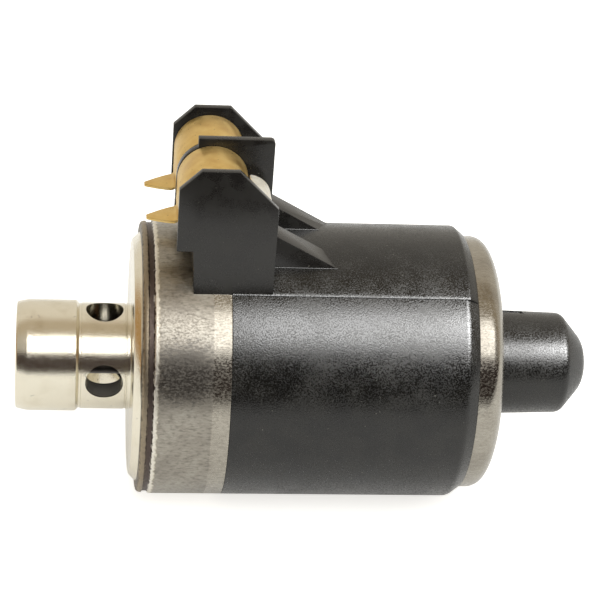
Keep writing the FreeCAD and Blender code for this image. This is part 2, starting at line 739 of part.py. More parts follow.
def make_contact(label, side):
    """Brass contact in one bay: a strip bent to an arch, with a pointed tongue and a narrow tail."""
    body = new_body(label)
    low, high = ("strip_inner_y", "strip_outer_y") if side > 0 else ("-strip_outer_y", "-strip_inner_y")
    slab(body, f"{label}_strip", contact_outline(), low, high)
    middle = "((strip_inner_y + strip_outer_y) / 2)" if side > 0 else "(-(strip_inner_y + strip_outer_y) / 2)"
    past_edge = "(strip_outer_y - strip_inner_y)"
    root_x = f"({ARCH_X} - arch_radius - strip_thickness / 2)"
    for end, sign in (("high", "+"), ("low", "-")):
        corner_cut = outline(body, f"{label}_{end}_side_outline", "XY_Plane", [
            (f"{TONGUE_TIP} - strip_thickness", f"{middle} {sign} {past_edge}"),
            (f"{TONGUE_TIP} - strip_thickness", f"{middle} {sign} tongue_tip_half"),
            (TONGUE_TIP, f"{middle} {sign} tongue_tip_half"),
            (root_x, f"{middle} {sign} tongue_root_half"),
            (root_x, f"{middle} {sign} {past_edge}"),
        ])
        pushed(body, f"{label}_{end}_side", corner_cut, ARCH_Z, "Pocket", reverse=True)
    tail_y = POST_MIDDLE_Y if side > 0 else negative(POST_MIDDLE_Y)
    tail_low = f"{LEG_BOTTOM} - strip_thickness"
    tail_top = f"{POST_Z} - post_head_radius"
    for end, sign in (("inner", "-" if side > 0 else "+"), ("outer", "+" if side > 0 else "-")):
        tail_cut = outline(body, f"{label}_{end}_tail_outline", "YZ_Plane", [
            (f"{tail_y} {sign} tail_half_width", tail_low),
            (f"{tail_y} {sign} 2 * plate_outer_y", tail_low),
            (f"{tail_y} {sign} 2 * plate_outer_y", f"{tail_top} + tail_half_width"),
            (f"{tail_y} {sign} tail_half_width", tail_top),
        ], offset=f"{ARCH_X} + arch_radius - 2 * strip_thickness")
        pushed(body, f"{label}_{end}_tail", tail_cut, "4 * strip_thickness", "Pocket", reverse=True)
    return body


def make_end_cap():
    """Moulded cap: a short drafted barrel with a cone and a rounded tip, hollow over the core's stub."""
    body = new_body("end_cap")
    hollow = "(core_stub_radius + cap_hollow_clearance)"
    hollow_end = "(can_length + core_stub_length + cap_hollow_clearance)"
    shoulder = "(can_length + cap_length)"
    tip = f"({shoulder} + cap_cone_length)"
    turned(body, "cap_turning", [
        ("can_length", hollow),
        (hollow_end, hollow),
        (hollow_end, "0"),
        (f"{tip} + cap_tip_round", "0"),
        (f"{tip} + cap_tip_round", "cap_tip_radius - 2 * cap_tip_round"),
        (tip, "cap_tip_radius"),
        (shoulder, "cap_shoulder_radius"),
        ("can_length", "cap_root_radius"),
    ])
    notch = outline(body, "notch_outline", "XY_Plane", [
        ("can_length", "-cap_notch_width / 2"),
        ("can_length + cap_notch_length", "-cap_notch_width / 2"),
        ("can_length + cap_notch_length", "cap_notch_width / 2"),
        ("can_length", "cap_notch_width / 2"),
    ], offset="cap_root_radius - cap_notch_depth")
    pushed(body, "notch", notch, "cap_root_radius", "Pocket", reverse=True)
    return body


parts = [
    make_valve_nose(),
    make_valve_seat(),
    make_valve_ball(),
    make_push_rod(),
    ring("guide_bush", "flange_thickness - bush_length", "flange_thickness",
         "rod_radius + running_clearance", "nose_bore_radius"),
    make_armature(),
    ring("guide_tube", "flange_thickness", TUBE_END, "tube_bore_radius", TUBE_RADIUS),
    make_return_spring(),
    ring("residual_shim", SHIM_FRONT, CORE_FRONT, "spring_pocket_radius", "shim_radius"),
    make_pole_core(),
    ring("flux_ring", "flange_thickness", RING_END, f"{TUBE_RADIUS} + fit_clearance", FLANGE_RADIUS),
    make_preload_washer(),
    make_coil_bobbin(),
    ring("coil_winding", COIL_FRONT, COIL_END, HUB_RADIUS, WINDING_RADIUS),
    ring("winding_tape", COIL_FRONT, COIL_END, WINDING_RADIUS, TAPE_RADIUS),
    make_coil_lead("right_coil_lead", "-1"),
    make_coil_lead("left_coil_lead", "1"),
    make_housing_can(),
    make_connector_sleeve(),
    make_contact("right_contact", -1),
    make_contact("left_contact", 1),
    make_end_cap(),
]

doc.recompute()

failed = [item.Name for item in doc.Objects if "Invalid" in item.State or "Error" in item.State]
if failed:
    raise RuntimeError(f"these objects did not build: {failed}")
for part in parts:
    if part.Shape.isNull() or not part.Shape.isValid() or not part.Shape.Solids:
        raise RuntimeError(f"{part.Label} has no valid solid")

os.makedirs("parts", exist_ok=True)
for part in parts:
    part.Shape.exportStep(f"parts/{part.Label}.step")
    print(f"{part.Label}: {len(part.Shape.Solids)} solid, {part.Shape.Volume:.1f} mm3")
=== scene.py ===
# %% [markdown]
# A shift solenoid is a small magnet valve that plugs into a gearbox's valve body. Its construction is
# already there as a frame of solids at their real size. This notebook gives each piece its finish: turned
# and plated steel, a deep-drawn can, a black moulded sleeve, two brass contacts and natural nylon posts.
# The frame is loaded first, and the boxes of its nodes give the sizes that the pieces are built to.

# %% Load the frame
import math

import bmesh
import bpy
from mathutils import Matrix, Quaternion, Vector


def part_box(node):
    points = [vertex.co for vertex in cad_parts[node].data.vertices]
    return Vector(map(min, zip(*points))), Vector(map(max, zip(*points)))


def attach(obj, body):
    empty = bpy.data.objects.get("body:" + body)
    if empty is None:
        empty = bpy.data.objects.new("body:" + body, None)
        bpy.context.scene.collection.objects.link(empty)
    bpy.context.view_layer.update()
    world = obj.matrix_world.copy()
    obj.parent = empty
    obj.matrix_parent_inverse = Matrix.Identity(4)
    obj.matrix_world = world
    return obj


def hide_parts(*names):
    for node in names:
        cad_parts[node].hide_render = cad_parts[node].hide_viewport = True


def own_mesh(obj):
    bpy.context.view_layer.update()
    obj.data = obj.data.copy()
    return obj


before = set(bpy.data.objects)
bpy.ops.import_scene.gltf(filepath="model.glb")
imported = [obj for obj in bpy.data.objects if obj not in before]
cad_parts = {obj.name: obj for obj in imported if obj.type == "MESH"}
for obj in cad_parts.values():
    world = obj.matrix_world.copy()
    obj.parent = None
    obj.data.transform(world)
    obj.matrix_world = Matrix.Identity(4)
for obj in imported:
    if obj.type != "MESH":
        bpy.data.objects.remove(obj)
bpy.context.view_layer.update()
MM = 0.001


def box_mm(node):
    """Lowest and highest corner of a frame node, in millimetres."""
    low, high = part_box(node)
    return low / MM, high / MM


nose_low, nose_high = box_mm("valve_nose")
can_low, can_high = box_mm("housing_can")
sleeve_low, sleeve_high = box_mm("connector_sleeve")
contact_low, contact_high = box_mm("right_contact")
bobbin_low, bobbin_high = box_mm("coil_bobbin")
cap_low, cap_high = box_mm("end_cap")
CAN_RADIUS = can_high.z
print("can radius", round(CAN_RADIUS, 2), "mm, whole length", round(cap_high.x - nose_low.x, 2), "mm")

# %% [markdown]
# The photograph was taken with a longish lens from the solenoid's right, a little above it and slightly
# rolled. The camera is placed by its distance and three angles from a point that it aims at, because
# each of these can be checked against one thing in the picture: size, ellipses and tilt.

# %% Camera
CAMERA_AIM = Vector((18.735, 2.542, 6.030)) * MM
CAMERA_DISTANCE = 243.533 * MM
CAMERA_YAW = math.radians(-7.3706)
CAMERA_ELEVATION = math.radians(29.2)
CAMERA_ROLL = math.radians(4.6556)
CAMERA_LENS = 131.585
CAMERA_SENSOR = 36.0
CAMERA_NEAR = 0.01

camera_data = bpy.data.cameras.new("camera")
camera_data.lens = CAMERA_LENS
camera_data.sensor_width = CAMERA_SENSOR
camera_data.clip_start = CAMERA_NEAR
camera = bpy.data.objects.new("camera", camera_data)
bpy.context.scene.collection.objects.link(camera)
level = math.cos(CAMERA_ELEVATION)
back = Vector((math.sin(CAMERA_YAW) * level, -math.cos(CAMERA_YAW) * level, math.sin(CAMERA_ELEVATION)))
camera.location = CAMERA_AIM + back * CAMERA_DISTANCE
camera.rotation_mode = "QUATERNION"
camera.rotation_quaternion = (-back).to_track_quat("-Z", "Y") @ Quaternion((0, 0, 1), CAMERA_ROLL)
bpy.context.scene.camera = camera
bpy.context.scene.view_settings.view_transform = "Standard"
print("camera", round(CAMERA_DISTANCE / MM), "mm away, with a lens of", round(CAMERA_LENS), "mm")

# %% [markdown]
# Every material here is a small graph of nodes. One function adds a node, sets its options and sets or links
# its inputs. They are given in the order in which the node shows them, or by name, and a node that is given
# as an input stands for its own first output. Colours are written as sRGB hex values, as a painter would
# read them off, and one function turns them to the linear values that the renderer works with.

# %% Nodes and colours
PLACES = "ShaderNodeTexCoord"
RAYS = "ShaderNodeLightPath"
SPLIT = "ShaderNodeSeparateXYZ"
STRETCH = "ShaderNodeMapping"
NOISE = "ShaderNodeTexNoise"
VECTOR = "ShaderNodeVectorMath"
MATH = "ShaderNodeMath"
RANGE = "ShaderNodeMapRange"
RAMP = "ShaderNodeValToRGB"
MIX = "ShaderNodeMix"
BUMP = "ShaderNodeBump"
GLOW = "ShaderNodeEmission"
BACKGROUND = "ShaderNodeBackground"
EITHER = "ShaderNodeMixShader"
SURFACE = "ShaderNodeBsdfPrincipled"
OUTPUT = "ShaderNodeOutputMaterial"

EASED = {"interpolation_type": "SMOOTHSTEP"}
TIMES = {"operation": "MULTIPLY"}
TIMES_PLUS = {"operation": "MULTIPLY_ADD"}
LARGER = {"operation": "MAXIMUM"}
COLOURS = {"data_type": "RGBA"}


def linear(hex_colour):
    """An sRGB hex colour as linear red, green, blue and alpha."""
    parts = [int(hex_colour[i:i + 2], 16) / 255 for i in (0, 2, 4)]
    return [c / 12.92 if c <= 0.04045 else ((c + 0.055) / 1.055) ** 2.4 for c in parts] + [1.0]


def add(tree, kind, inputs=(), stops=(), **options):
    """Add a node with its options, its inputs by name or in order, and a ramp's (place, hex) stops."""
    made = tree.nodes.new(kind)
    for key, setting in options.items():
        setattr(made, key, setting)
    if stops:
        points = made.color_ramp.elements
        while len(points) < len(stops):
            points.new(0.5)
        for point, (place, hex_colour) in zip(points, stops):
            point.position = place
            point.color = linear(hex_colour)
    shown = [socket for socket in made.inputs if socket.enabled]
    for key, source in inputs.items() if isinstance(inputs, dict) else zip(shown, inputs):
        socket = made.inputs[key] if isinstance(key, str) else key
        if isinstance(source, bpy.types.Node):
            source = next(output for output in source.outputs if output.enabled)
        if isinstance(source, bpy.types.NodeSocket):
            tree.links.new(source, socket)
        else:
            socket.default_value = source
    return made


print("the hex grey 808080 is", round(linear("808080")[0], 3), "in linear light")

# %% [markdown]
# A product photograph on white is light from a large softbox, a white table and pale walls, and the metal in
# it tells what stood around. A dark band in the metal is the dark side of the room behind the camera, where
# the white table ends. So the table is white near the solenoid and dark in front of it. Only reflections see
# that: to the camera the table is white all over.

# %% Table
FLOOR_HALF = 1.6
TABLE_GLOW = 0.75
TABLE_SHINE = 0.3
TABLE_END = -0.115
TABLE_FADE = 0.01
DARK_GLOW = 0.06

floor_shape = bmesh.new()
bmesh.ops.create_grid(floor_shape, x_segments=1, y_segments=1, size=FLOOR_HALF)
bmesh.ops.translate(floor_shape, verts=floor_shape.verts, vec=(0, 0, -CAN_RADIUS * MM))
floor_mesh = bpy.data.meshes.new("floor")
floor_shape.to_mesh(floor_mesh)
floor_shape.free()
floor = bpy.data.objects.new("floor", floor_mesh)
bpy.context.scene.collection.objects.link(floor)

paint = bpy.data.materials.new("white_table")
paint.use_nodes = True
tree = paint.node_tree
tree.nodes.clear()
rays = add(tree, RAYS).outputs
across = add(tree, SPLIT, [add(tree, PLACES).outputs["Object"]]).outputs["Y"]
beyond = add(tree, RANGE, (across, TABLE_END - TABLE_FADE, TABLE_END + TABLE_FADE, 1.0, 0.0), **EASED)
off_table = add(tree, MATH, (rays["Is Glossy Ray"], beyond), **TIMES)
seen = add(tree, MATH, (rays["Is Camera Ray"], rays["Is Transmission Ray"]), **LARGER)
shine = add(tree, MATH, (rays["Is Glossy Ray"], TABLE_SHINE), **TIMES)
strength = add(tree, MATH, (seen, TABLE_GLOW, shine), **TIMES_PLUS)
glow = add(tree, GLOW, (linear("FFFDF9"), strength))
matt = add(tree, "ShaderNodeBsdfDiffuse", [linear("F2F2F0")])
white = add(tree, "ShaderNodeAddShader", (glow, matt))
dark = add(tree, GLOW, (linear("FFE6D8"), DARK_GLOW))
add(tree, OUTPUT, [add(tree, EITHER, (off_table, white, dark))])
floor_mesh.materials.append(paint)
print("the solenoid lies on the table, whose top is at", round(-CAN_RADIUS, 2), "mm")

# %% [markdown]
# The walls are the world, with a colour for each direction. Going round over the solenoid, the room is pale,
# then dark behind the camera, then pale again with a tan wall, and there is a warm wall on the side that the
# nose points to. Only reflections see these: to the camera the world is white, and as light on the object it
# is an even fill.

# %% Room
WORLD_FILL = 0.5
ROOM_STOPS = [
    (0.0, "EFE9DD"), (0.44, "EFE9DD"), (0.47, "40342F"), (0.586, "3A302D"), (0.602, "B8B2AA"),
    (0.68, "C9C1B4"), (0.735, "C3B49C"), (0.785, "C3B49C"), (0.82, "EFE6D8"), (1.0, "EFE9DD"),
]
WARM_WALL = "B58F5C"
WARM_WALL_SIDE = (-0.72, -0.93)
WARM_WALL_TOP = (0.62, 0.3)

world = bpy.data.worlds.new("studio")
bpy.context.scene.world = world
world.use_nodes = True
tree = world.node_tree
tree.nodes.clear()
rays = add(tree, RAYS).outputs
way = add(tree, SPLIT, [add(tree, PLACES).outputs["Generated"]]).outputs
ahead = add(tree, MATH, (way["Y"], -1.0), **TIMES)
turn = add(tree, MATH, (way["Z"], ahead), operation="ARCTAN2")
room = add(tree, RAMP, [add(tree, RANGE, (turn, -math.pi, math.pi))], ROOM_STOPS)
aside = add(tree, RANGE, (way["X"], *WARM_WALL_SIDE), **EASED)
low_down = add(tree, RANGE, (way["Z"], *WARM_WALL_TOP), **EASED)
warm = add(tree, MATH, (aside, low_down), **TIMES)
room = add(tree, MIX, (warm, room, linear(WARM_WALL)), **COLOURS)
even = add(tree, BACKGROUND, (linear("FFFDF8"), WORLD_FILL))
walls = add(tree, BACKGROUND, (room, 1.0))
white = add(tree, BACKGROUND, (linear("FFFFFF"), 1.0))
lit = add(tree, EITHER, (rays["Is Glossy Ray"], even, walls))
seen = add(tree, MATH, (rays["Is Camera Ray"], rays["Is Transmission Ray"]), **LARGER)
add(tree, "ShaderNodeOutputWorld", [add(tree, EITHER, (seen, lit, white))])
print(len(ROOM_STOPS), "colours round the room, and a fill of", WORLD_FILL)

# %% [markdown]
# The large softbox hangs above the camera and makes the bright band on the metal. A second one lights the
# back and doesn't show in reflections. Black plastic gives so little light back that its highlights need
# stronger boxes, so a sheen box and an edge box shine on the black pieces only, as highlights only.


# %% Softboxes
def around(azimuth, elevation, distance):
    """A point round the can's middle, with azimuth 0 in front of it, towards -Y."""
    a = math.radians(azimuth)
    e = math.radians(elevation)
    way = Vector((math.sin(a) * math.cos(e), -math.cos(a) * math.cos(e), math.sin(e)))
    return Vector((can_high.x / 2 * MM, 0, 0)) + way * distance


def softbox(name, azimuth, elevation, distance, size, power, aside=0.0):
    """An area lamp that points at the can's middle and is then moved along X."""
    lamp = bpy.data.lights.new(name, "AREA")
    lamp.shape = "RECTANGLE"
    lamp.size, lamp.size_y = size
    lamp.energy = power
    box = bpy.data.objects.new(name, lamp)
    bpy.context.scene.collection.objects.link(box)
    box.location = around(azimuth, elevation, distance)
    to_object = around(0, 0, 0) - box.location
    box.rotation_mode = "QUATERNION"
    box.rotation_quaternion = to_object.to_track_quat("-Z", "Y")
    box.location.x += aside
    print(name, power, "W")
    return box


FRONT_LIFT = 52
FRONT_ASIDE = 0.3
softbox("front_softbox", 0, FRONT_LIFT, distance=0.62, size=(0.92, 0.37), power=2.9, aside=FRONT_ASIDE)
rear_box = softbox("rear_softbox", 165, 48, distance=0.9, size=(0.9, 0.5), power=1.4)
rear_box.visible_glossy = False

sheen_box = softbox("sheen_softbox", 0, FRONT_LIFT + 5, distance=0.58, size=(0.86, 0.3), power=8.5,
                    aside=FRONT_ASIDE)
edge_box = softbox("edge_softbox", 64, 46, distance=0.6, size=(0.34, 0.3), power=6.0)
black_pieces = bpy.data.collections.new("black_pieces")
for black_box in (sheen_box, edge_box):
    black_box.visible_diffuse = False
    black_box.light_linking.receiver_collection = black_pieces

# %% [markdown]
# Most of the solenoid is turned, so its pieces are profiles spun round the X axis. The profile is a chain
# of corners in millimetres, along the axis and out from it. A corner with a third number is rounded by
# that much, with a vertex bevel before the spin, so that no rim is knife-sharp and each one catches light.

# %% Turned shapes
SPIN_STEPS = 192
ROUND_STEPS = 3
ROUND_STEPS_PER_MM = 5
WELD = 0.0005


def turned(profile, steps=SPIN_STEPS, degrees=360, start=0):
    """Spin a closed profile of (along, radius, rounding) corners round the X axis."""
    bm = bmesh.new()
    spots = [bm.verts.new((corner[0], 0, corner[1])) for corner in profile]
    for index, spot in enumerate(spots):
        after = (index + 1) % len(spots)
        if profile[index][1] > 0 or profile[after][1] > 0:
            bm.edges.new((spot, spots[after]))
    for spot, corner in zip(spots, profile):
        if len(corner) > 2:
            segments = max(ROUND_STEPS, round(corner[2] * ROUND_STEPS_PER_MM))
            bmesh.ops.bevel(bm, geom=[spot], offset=corner[2], offset_type="OFFSET", segments=segments,
                            profile=0.5, affect="VERTICES", material=-1)
    whole = degrees == 360
    if not whole:
        bmesh.ops.contextual_create(bm, geom=bm.edges[:])
        lean = Matrix.Rotation(math.radians(start), 3, "X")
        bmesh.ops.rotate(bm, verts=bm.verts, cent=(0, 0, 0), matrix=lean)
    bmesh.ops.spin(bm, geom=bm.verts[:] + bm.edges[:] + bm.faces[:], cent=(0, 0, 0), axis=(1, 0, 0),
                   angle=math.radians(degrees), steps=steps, use_merge=whole)
    bmesh.ops.remove_doubles(bm, verts=bm.verts, dist=WELD)
    bmesh.ops.recalc_face_normals(bm, faces=bm.faces)
    return bm


print("a facet round the can is", round(2 * math.pi * CAN_RADIUS / SPIN_STEPS, 2), "mm wide")

# %% [markdown]
# The flat-sided pieces are outlines in the XZ plane, pushed along Y. An outline can hold arcs, which are spun
# from the corner before them. Every sharp edge is then bevelled, as a mould's or a press's edges are never
# quite sharp.

# %% Pushed outlines
SHARP_FROM = 25


def soften(bm, rounding, sharp_from=SHARP_FROM):
    """Bevel every edge that turns by more than an angle."""
    limit = math.radians(sharp_from)
    sharp = [edge for edge in bm.edges if edge.is_manifold and edge.calc_face_angle() > limit]
    bmesh.ops.bevel(bm, geom=sharp, offset=rounding, offset_type="OFFSET", segments=2, profile=0.5,
                    affect="EDGES", material=-1, clamp_overlap=True)


def only_verts(geometry):
    """The vertices among what an operator gives back."""
    return [item for item in geometry if isinstance(item, bmesh.types.BMVert)]


def pushed(corners, low, high, rounding=0.0):
    """Push an outline along Y from one place to another and round its edges. An arc's corner is a dict."""
    bm = bmesh.new()
    first = last = None
    for corner in corners:
        if isinstance(corner, dict):
            arc = bmesh.ops.spin(bm, geom=[last], cent=(corner["x"], low, corner["z"]), axis=(0, -1, 0),
                                 angle=math.radians(corner["degrees"]), steps=corner["steps"])
            last = only_verts(arc["geom_last"])[0]
            continue
        spot = bm.verts.new((corner[0], low, corner[1]))
        if last:
            bm.edges.new((last, spot))
        first = first or spot
        last = spot
    bm.edges.new((last, first))
    bmesh.ops.remove_doubles(bm, verts=bm.verts, dist=WELD)
    face = bmesh.ops.contextual_create(bm, geom=bm.edges[:])["faces"][0]
    moved = bmesh.ops.extrude_face_region(bm, geom=[face])["geom"]
    bmesh.ops.translate(bm, verts=only_verts(moved), vec=(0, high - low, 0))
    bmesh.ops.recalc_face_normals(bm, faces=bm.faces)
    if rounding:
        soften(bm, rounding)
    return bm


def block(low, high, rounding=0.0):
    """A box between two corners."""
    corners = [(low[0], low[2]), (high[0], low[2]), (high[0], high[2]), (low[0], high[2])]
    return pushed(corners, low[1], high[1], rounding)


print("edges that turn by more than", SHARP_FROM, "degrees get a bevel")

# %% [markdown]
# Holes are cut by a boolean modifier, whose result is read back as a new shape. A round bar serves as the
# cutter. Several closed shapes can also be held in one mesh, as the plates and ribs of one moulding are.


# %% Cutting and joining
def rod(radius, middle, length, axis, segments):
    """A plain round bar with its middle at a point."""
    bm = bmesh.new()
    bmesh.ops.create_cone(bm, cap_ends=True, segments=segments, radius1=radius, radius2=radius, depth=length)
    turn = Vector((0, 0, 1)).rotation_difference(Vector(axis)).to_matrix()
    bmesh.ops.rotate(bm, verts=bm.verts, cent=(0, 0, 0), matrix=turn)
    bmesh.ops.translate(bm, verts=bm.verts, vec=middle)
    return bm


def joined(shapes):
    """Several closed shapes as one mesh."""
    whole = bmesh.new()
    for shape in shapes:
        held = bpy.data.meshes.new("held")
        shape.to_mesh(held)
        whole.from_mesh(held)
        bpy.data.meshes.remove(held)
        shape.free()
    return whole


def as_object(bm, name):
    """Put a shape in the scene as an object of its own."""
    mesh = bpy.data.meshes.new(name)
    bm.to_mesh(mesh)
    bm.free()
    made = bpy.data.objects.new(name, mesh)
    bpy.context.scene.collection.objects.link(made)
    return made


def carved(bm, cutter):
    """Cut one shape out of another, and return the result as a new shape."""
    target = as_object(bm, "target")
    tool = as_object(cutter, "tool")
    modifier = target.modifiers.new("cut", "BOOLEAN")
    modifier.operation = "DIFFERENCE"
    modifier.solver = "EXACT"
    modifier.use_self = True
    modifier.object = tool
    evaluated = target.evaluated_get(bpy.context.evaluated_depsgraph_get())
    cut = bpy.data.meshes.new_from_object(evaluated)
    result = bmesh.new()
    result.from_mesh(cut)
    for thing in (target, tool):
        held = thing.data
        bpy.data.objects.remove(thing)
        bpy.data.meshes.remove(held)
    bpy.data.meshes.remove(cut)
    bmesh.ops.remove_doubles(result, verts=result.verts, dist=WELD)
    return result


print("cut shapes are welded at", WELD, "mm")

# %% [markdown]
# All shapes are modelled in millimetres, because the operators' tolerances suit sizes near one. At the end
# each is brought to metres, gets its finish and rides on the body of the frame that it belongs to. Its faces
# are shaded smooth, and only edges that turn sharply stay crisp. A material starts with the position on the
# piece, which its patterns read, and their scales are worked out from real sizes.

# %% Seating and finishing
SMOOTH_BELOW = math.radians(32)


def piece(bm, name, body, slot, material, stands_for):
    """Bring a shape to metres, give it its finish and seat it on its body."""
    bmesh.ops.scale(bm, vec=(MM, MM, MM), verts=bm.verts)
    made = as_object(bm, name)
    made.data.shade_smooth()
    made.data.set_sharp_from_angle(angle=SMOOTH_BELOW)
    made.data.materials.append(material)
    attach(made, body)
    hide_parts(stands_for)
    if slot == "black_plastic":
        black_pieces.objects.link(made)
    made.data.calc_loop_triangles()
    print(name, len(made.data.loop_triangles), "triangles")


def new_material(name):
    """An empty material, its tree and the position that its patterns read."""
    material = bpy.data.materials.new(name)
    material.use_nodes = True
    tree = material.node_tree
    tree.nodes.clear()
    return material, tree, add(tree, PLACES).outputs["Object"]


def per_mm(size):
    """The scale of a pattern whose features are as large as given, in millimetres."""
    return 1 / (size * MM)


print("a pattern of 1 mm has a scale of", round(per_mm(1)))

# %% [markdown]
# The nose is free-cutting steel, turned and then plated with a bright zinc-nickel coat. The plating gives a
# warm cream mirror with a fine sparkle, because it follows the tool's grain. The colour is warm grey and the
# roughness low. Fine dust-like noise changes the roughness from speck to speck, and as a very shallow bump it
# breaks up the edges of the reflections. The bore is bare steel, painted dark grey as painted shade because it
# is deep and unlit, and the walls of the cross holes on the camera's side are painted a duller, less metallic
# grey, also as painted shade.

# %% Plated steel
NOSE_BORE = 3.3
BARE_AND_SHADED_BORE_TO = NOSE_BORE + 0.02
PLATED_FROM = NOSE_BORE + 0.25
HOLE_WALL_OUT = (5.7, 5.6)
HOLE_WALL_ENDS = (("X", 0.0, -0.1), ("Y", 0.3, -0.3), ("X", -5.4, -5.3))
PLATING_DUST = 0.13
PLATING_DEPTH = 0.012


def make_plated_steel():
    material, tree, position = new_material("plated_steel")
    axes = add(tree, SPLIT, [position]).outputs
    out = add(tree, "ShaderNodeCombineXYZ", (0.0, axes["Y"], axes["Z"]))
    radius = add(tree, VECTOR, [out], operation="LENGTH")
    cloud = add(tree, RANGE, (add(tree, NOISE, (position, per_mm(2.2), 3.0)), 0.45, 0.75, 0.0, 0.4), **EASED)
    colour = add(tree, MIX, (cloud, linear("E2DCCB"), linear("CFC6B0")), **COLOURS)
    speck = add(tree, RANGE, (add(tree, NOISE, (position, per_mm(0.3), 1.0)), 0.76, 0.78, 0.0, 0.8), **EASED)
    colour = add(tree, MIX, (speck, colour, linear("4A443C")), **COLOURS)
    # Painted shade: the bore's surface gets a dark grey, for the deep, unlit bore.
    plated = add(tree, RANGE, (radius, BARE_AND_SHADED_BORE_TO * MM, PLATED_FROM * MM), **EASED)
    colour = add(tree, MIX, (plated, linear("3C3C3E"), colour), **COLOURS)
    # The holes' walls lie inside the neck's skin, between the flange and the land, on the camera's side, where
    # a duller grey is painted on them as painted shade.
    wall = add(tree, RANGE, (radius, *(edge * MM for edge in HOLE_WALL_OUT)), **EASED)
    for axis, outside, inside in HOLE_WALL_ENDS:
        within = add(tree, RANGE, (axes[axis], outside * MM, inside * MM), **EASED)
        wall = add(tree, MATH, (wall, within), **TIMES)
    colour = add(tree, MIX, (add(tree, MATH, (wall, 0.75), **TIMES), colour, linear("7C7B79")), **COLOURS)
    dust = add(tree, NOISE, (position, per_mm(PLATING_DUST), 2.0))
    shader = add(tree, SURFACE, {
        "Base Color": colour,
        "Metallic": add(tree, RANGE, (wall, 0.0, 1.0, 1.0, 0.55)),
        "Roughness": add(tree, RANGE, (dust, 0.4, 0.65, 0.15, 0.27), **EASED),
        "Normal": add(tree, BUMP, {"Height": dust, "Distance": PLATING_DEPTH * MM}),
    })
    add(tree, OUTPUT, [shader])
    return material


plated_steel = make_plated_steel()
print("plated steel:", len(plated_steel.node_tree.nodes), "nodes")

# %% [markdown]
# The nose's profile runs from the bore round the pilot land and the neck to the flange. The land ends in a
# small chamfer and a shallow relief, and a fine line is cut where the neck meets the flange. The four cross
# holes are cut with two crossed bars, after the spin.

# %% Nose
NOSE_RADIUS = 6.12
TIP_CHAMFER = 0.27
LAND_FRONT = -11.2
NECK_RADIUS = 5.85
NECK_LENGTH = 5.85
RELIEF = (-NECK_LENGTH + 0.18, -NECK_LENGTH + 0.5)
ROOT_LINE = (-0.62, -0.42)
LINE_DEPTH = 0.08
LINE_LEAN = 0.04
HOLE_X = -2.88
HOLE_RADIUS = 2.04
FLANGE_BEVEL = 0.75
FLANGE_RADIUS = nose_high.z


def neck_line(front, rear):
    """The corners of a shallow groove round the neck."""
    floor = NECK_RADIUS - LINE_DEPTH
    return [(front, NECK_RADIUS), (front + LINE_LEAN, floor), (rear - LINE_LEAN, floor), (rear, NECK_RADIUS)]


def make_nose():
    shape = turned([
        (nose_low.x, NOSE_BORE, 0.15),
        (nose_low.x, NOSE_RADIUS - TIP_CHAMFER, 0.22),
        (LAND_FRONT, NOSE_RADIUS, 0.12),
        (-NECK_LENGTH - 0.1, NOSE_RADIUS, 0.06),
        *neck_line(*RELIEF),
        *neck_line(*ROOT_LINE),
        (0, NECK_RADIUS, 0.1),
        (0, FLANGE_RADIUS - FLANGE_BEVEL, 0.1),
        (FLANGE_BEVEL, FLANGE_RADIUS, 0.12),
        (nose_high.x, FLANGE_RADIUS),
        (nose_high.x, NOSE_BORE),
    ])
    for way in ((0, 1, 0), (0, 0, 1)):
        shape = carved(shape, rod(HOLE_RADIUS, (HOLE_X, 0, 0), 3 * NOSE_RADIUS, way, 96))
    piece(shape, "nose_turning", "housing", "plated_steel", plated_steel, "valve_nose")


make_nose()

# %% [markdown]
# The can is deep-drawn steel. Drawing leaves fine lines along the axis, and handling leaves scuffs and a rub
# mark on the side that the camera sees. Its front lip is rolled over the flange and stays rough, a band next
# to the sleeve is polished by the mould that the sleeve was shot in, and the rounded end is the smoothest.
# One material does all this, with the place along the axis choosing the colour and the roughness.

# %% Can steel
GROOVE_START = 1.45
GROOVE_END = 2.1
POLISH_FRONT = (8.15, 8.35)
POLISH_REAR = (12, 11)
CUP_START = (36, 37)
RUB_X, RUB_Z = 5.4, 6.1
RUB_HALF_LONG, RUB_HALF_HIGH = 3.1, 2.8
LIP_BAND_SPAN = (0.8, 2.8)
# Lip colours along X: a brown rim, a darker groove, and a bright line that is partly wear and partly a painted
# highlight.
LIP_BANDS_AND_HIGHLIGHT = [
    (0.0, "5C5448"), (0.1, "998D79"), (0.3, "8B806F"), (0.36, "574D47"), (0.62, "544B47"), (0.68, "E8E4DA"),
    (0.82, "D8D3C6"), (0.88, "A59E90"),
]
RAGGED = 0.14
LINE_HEIGHT = 0.0045


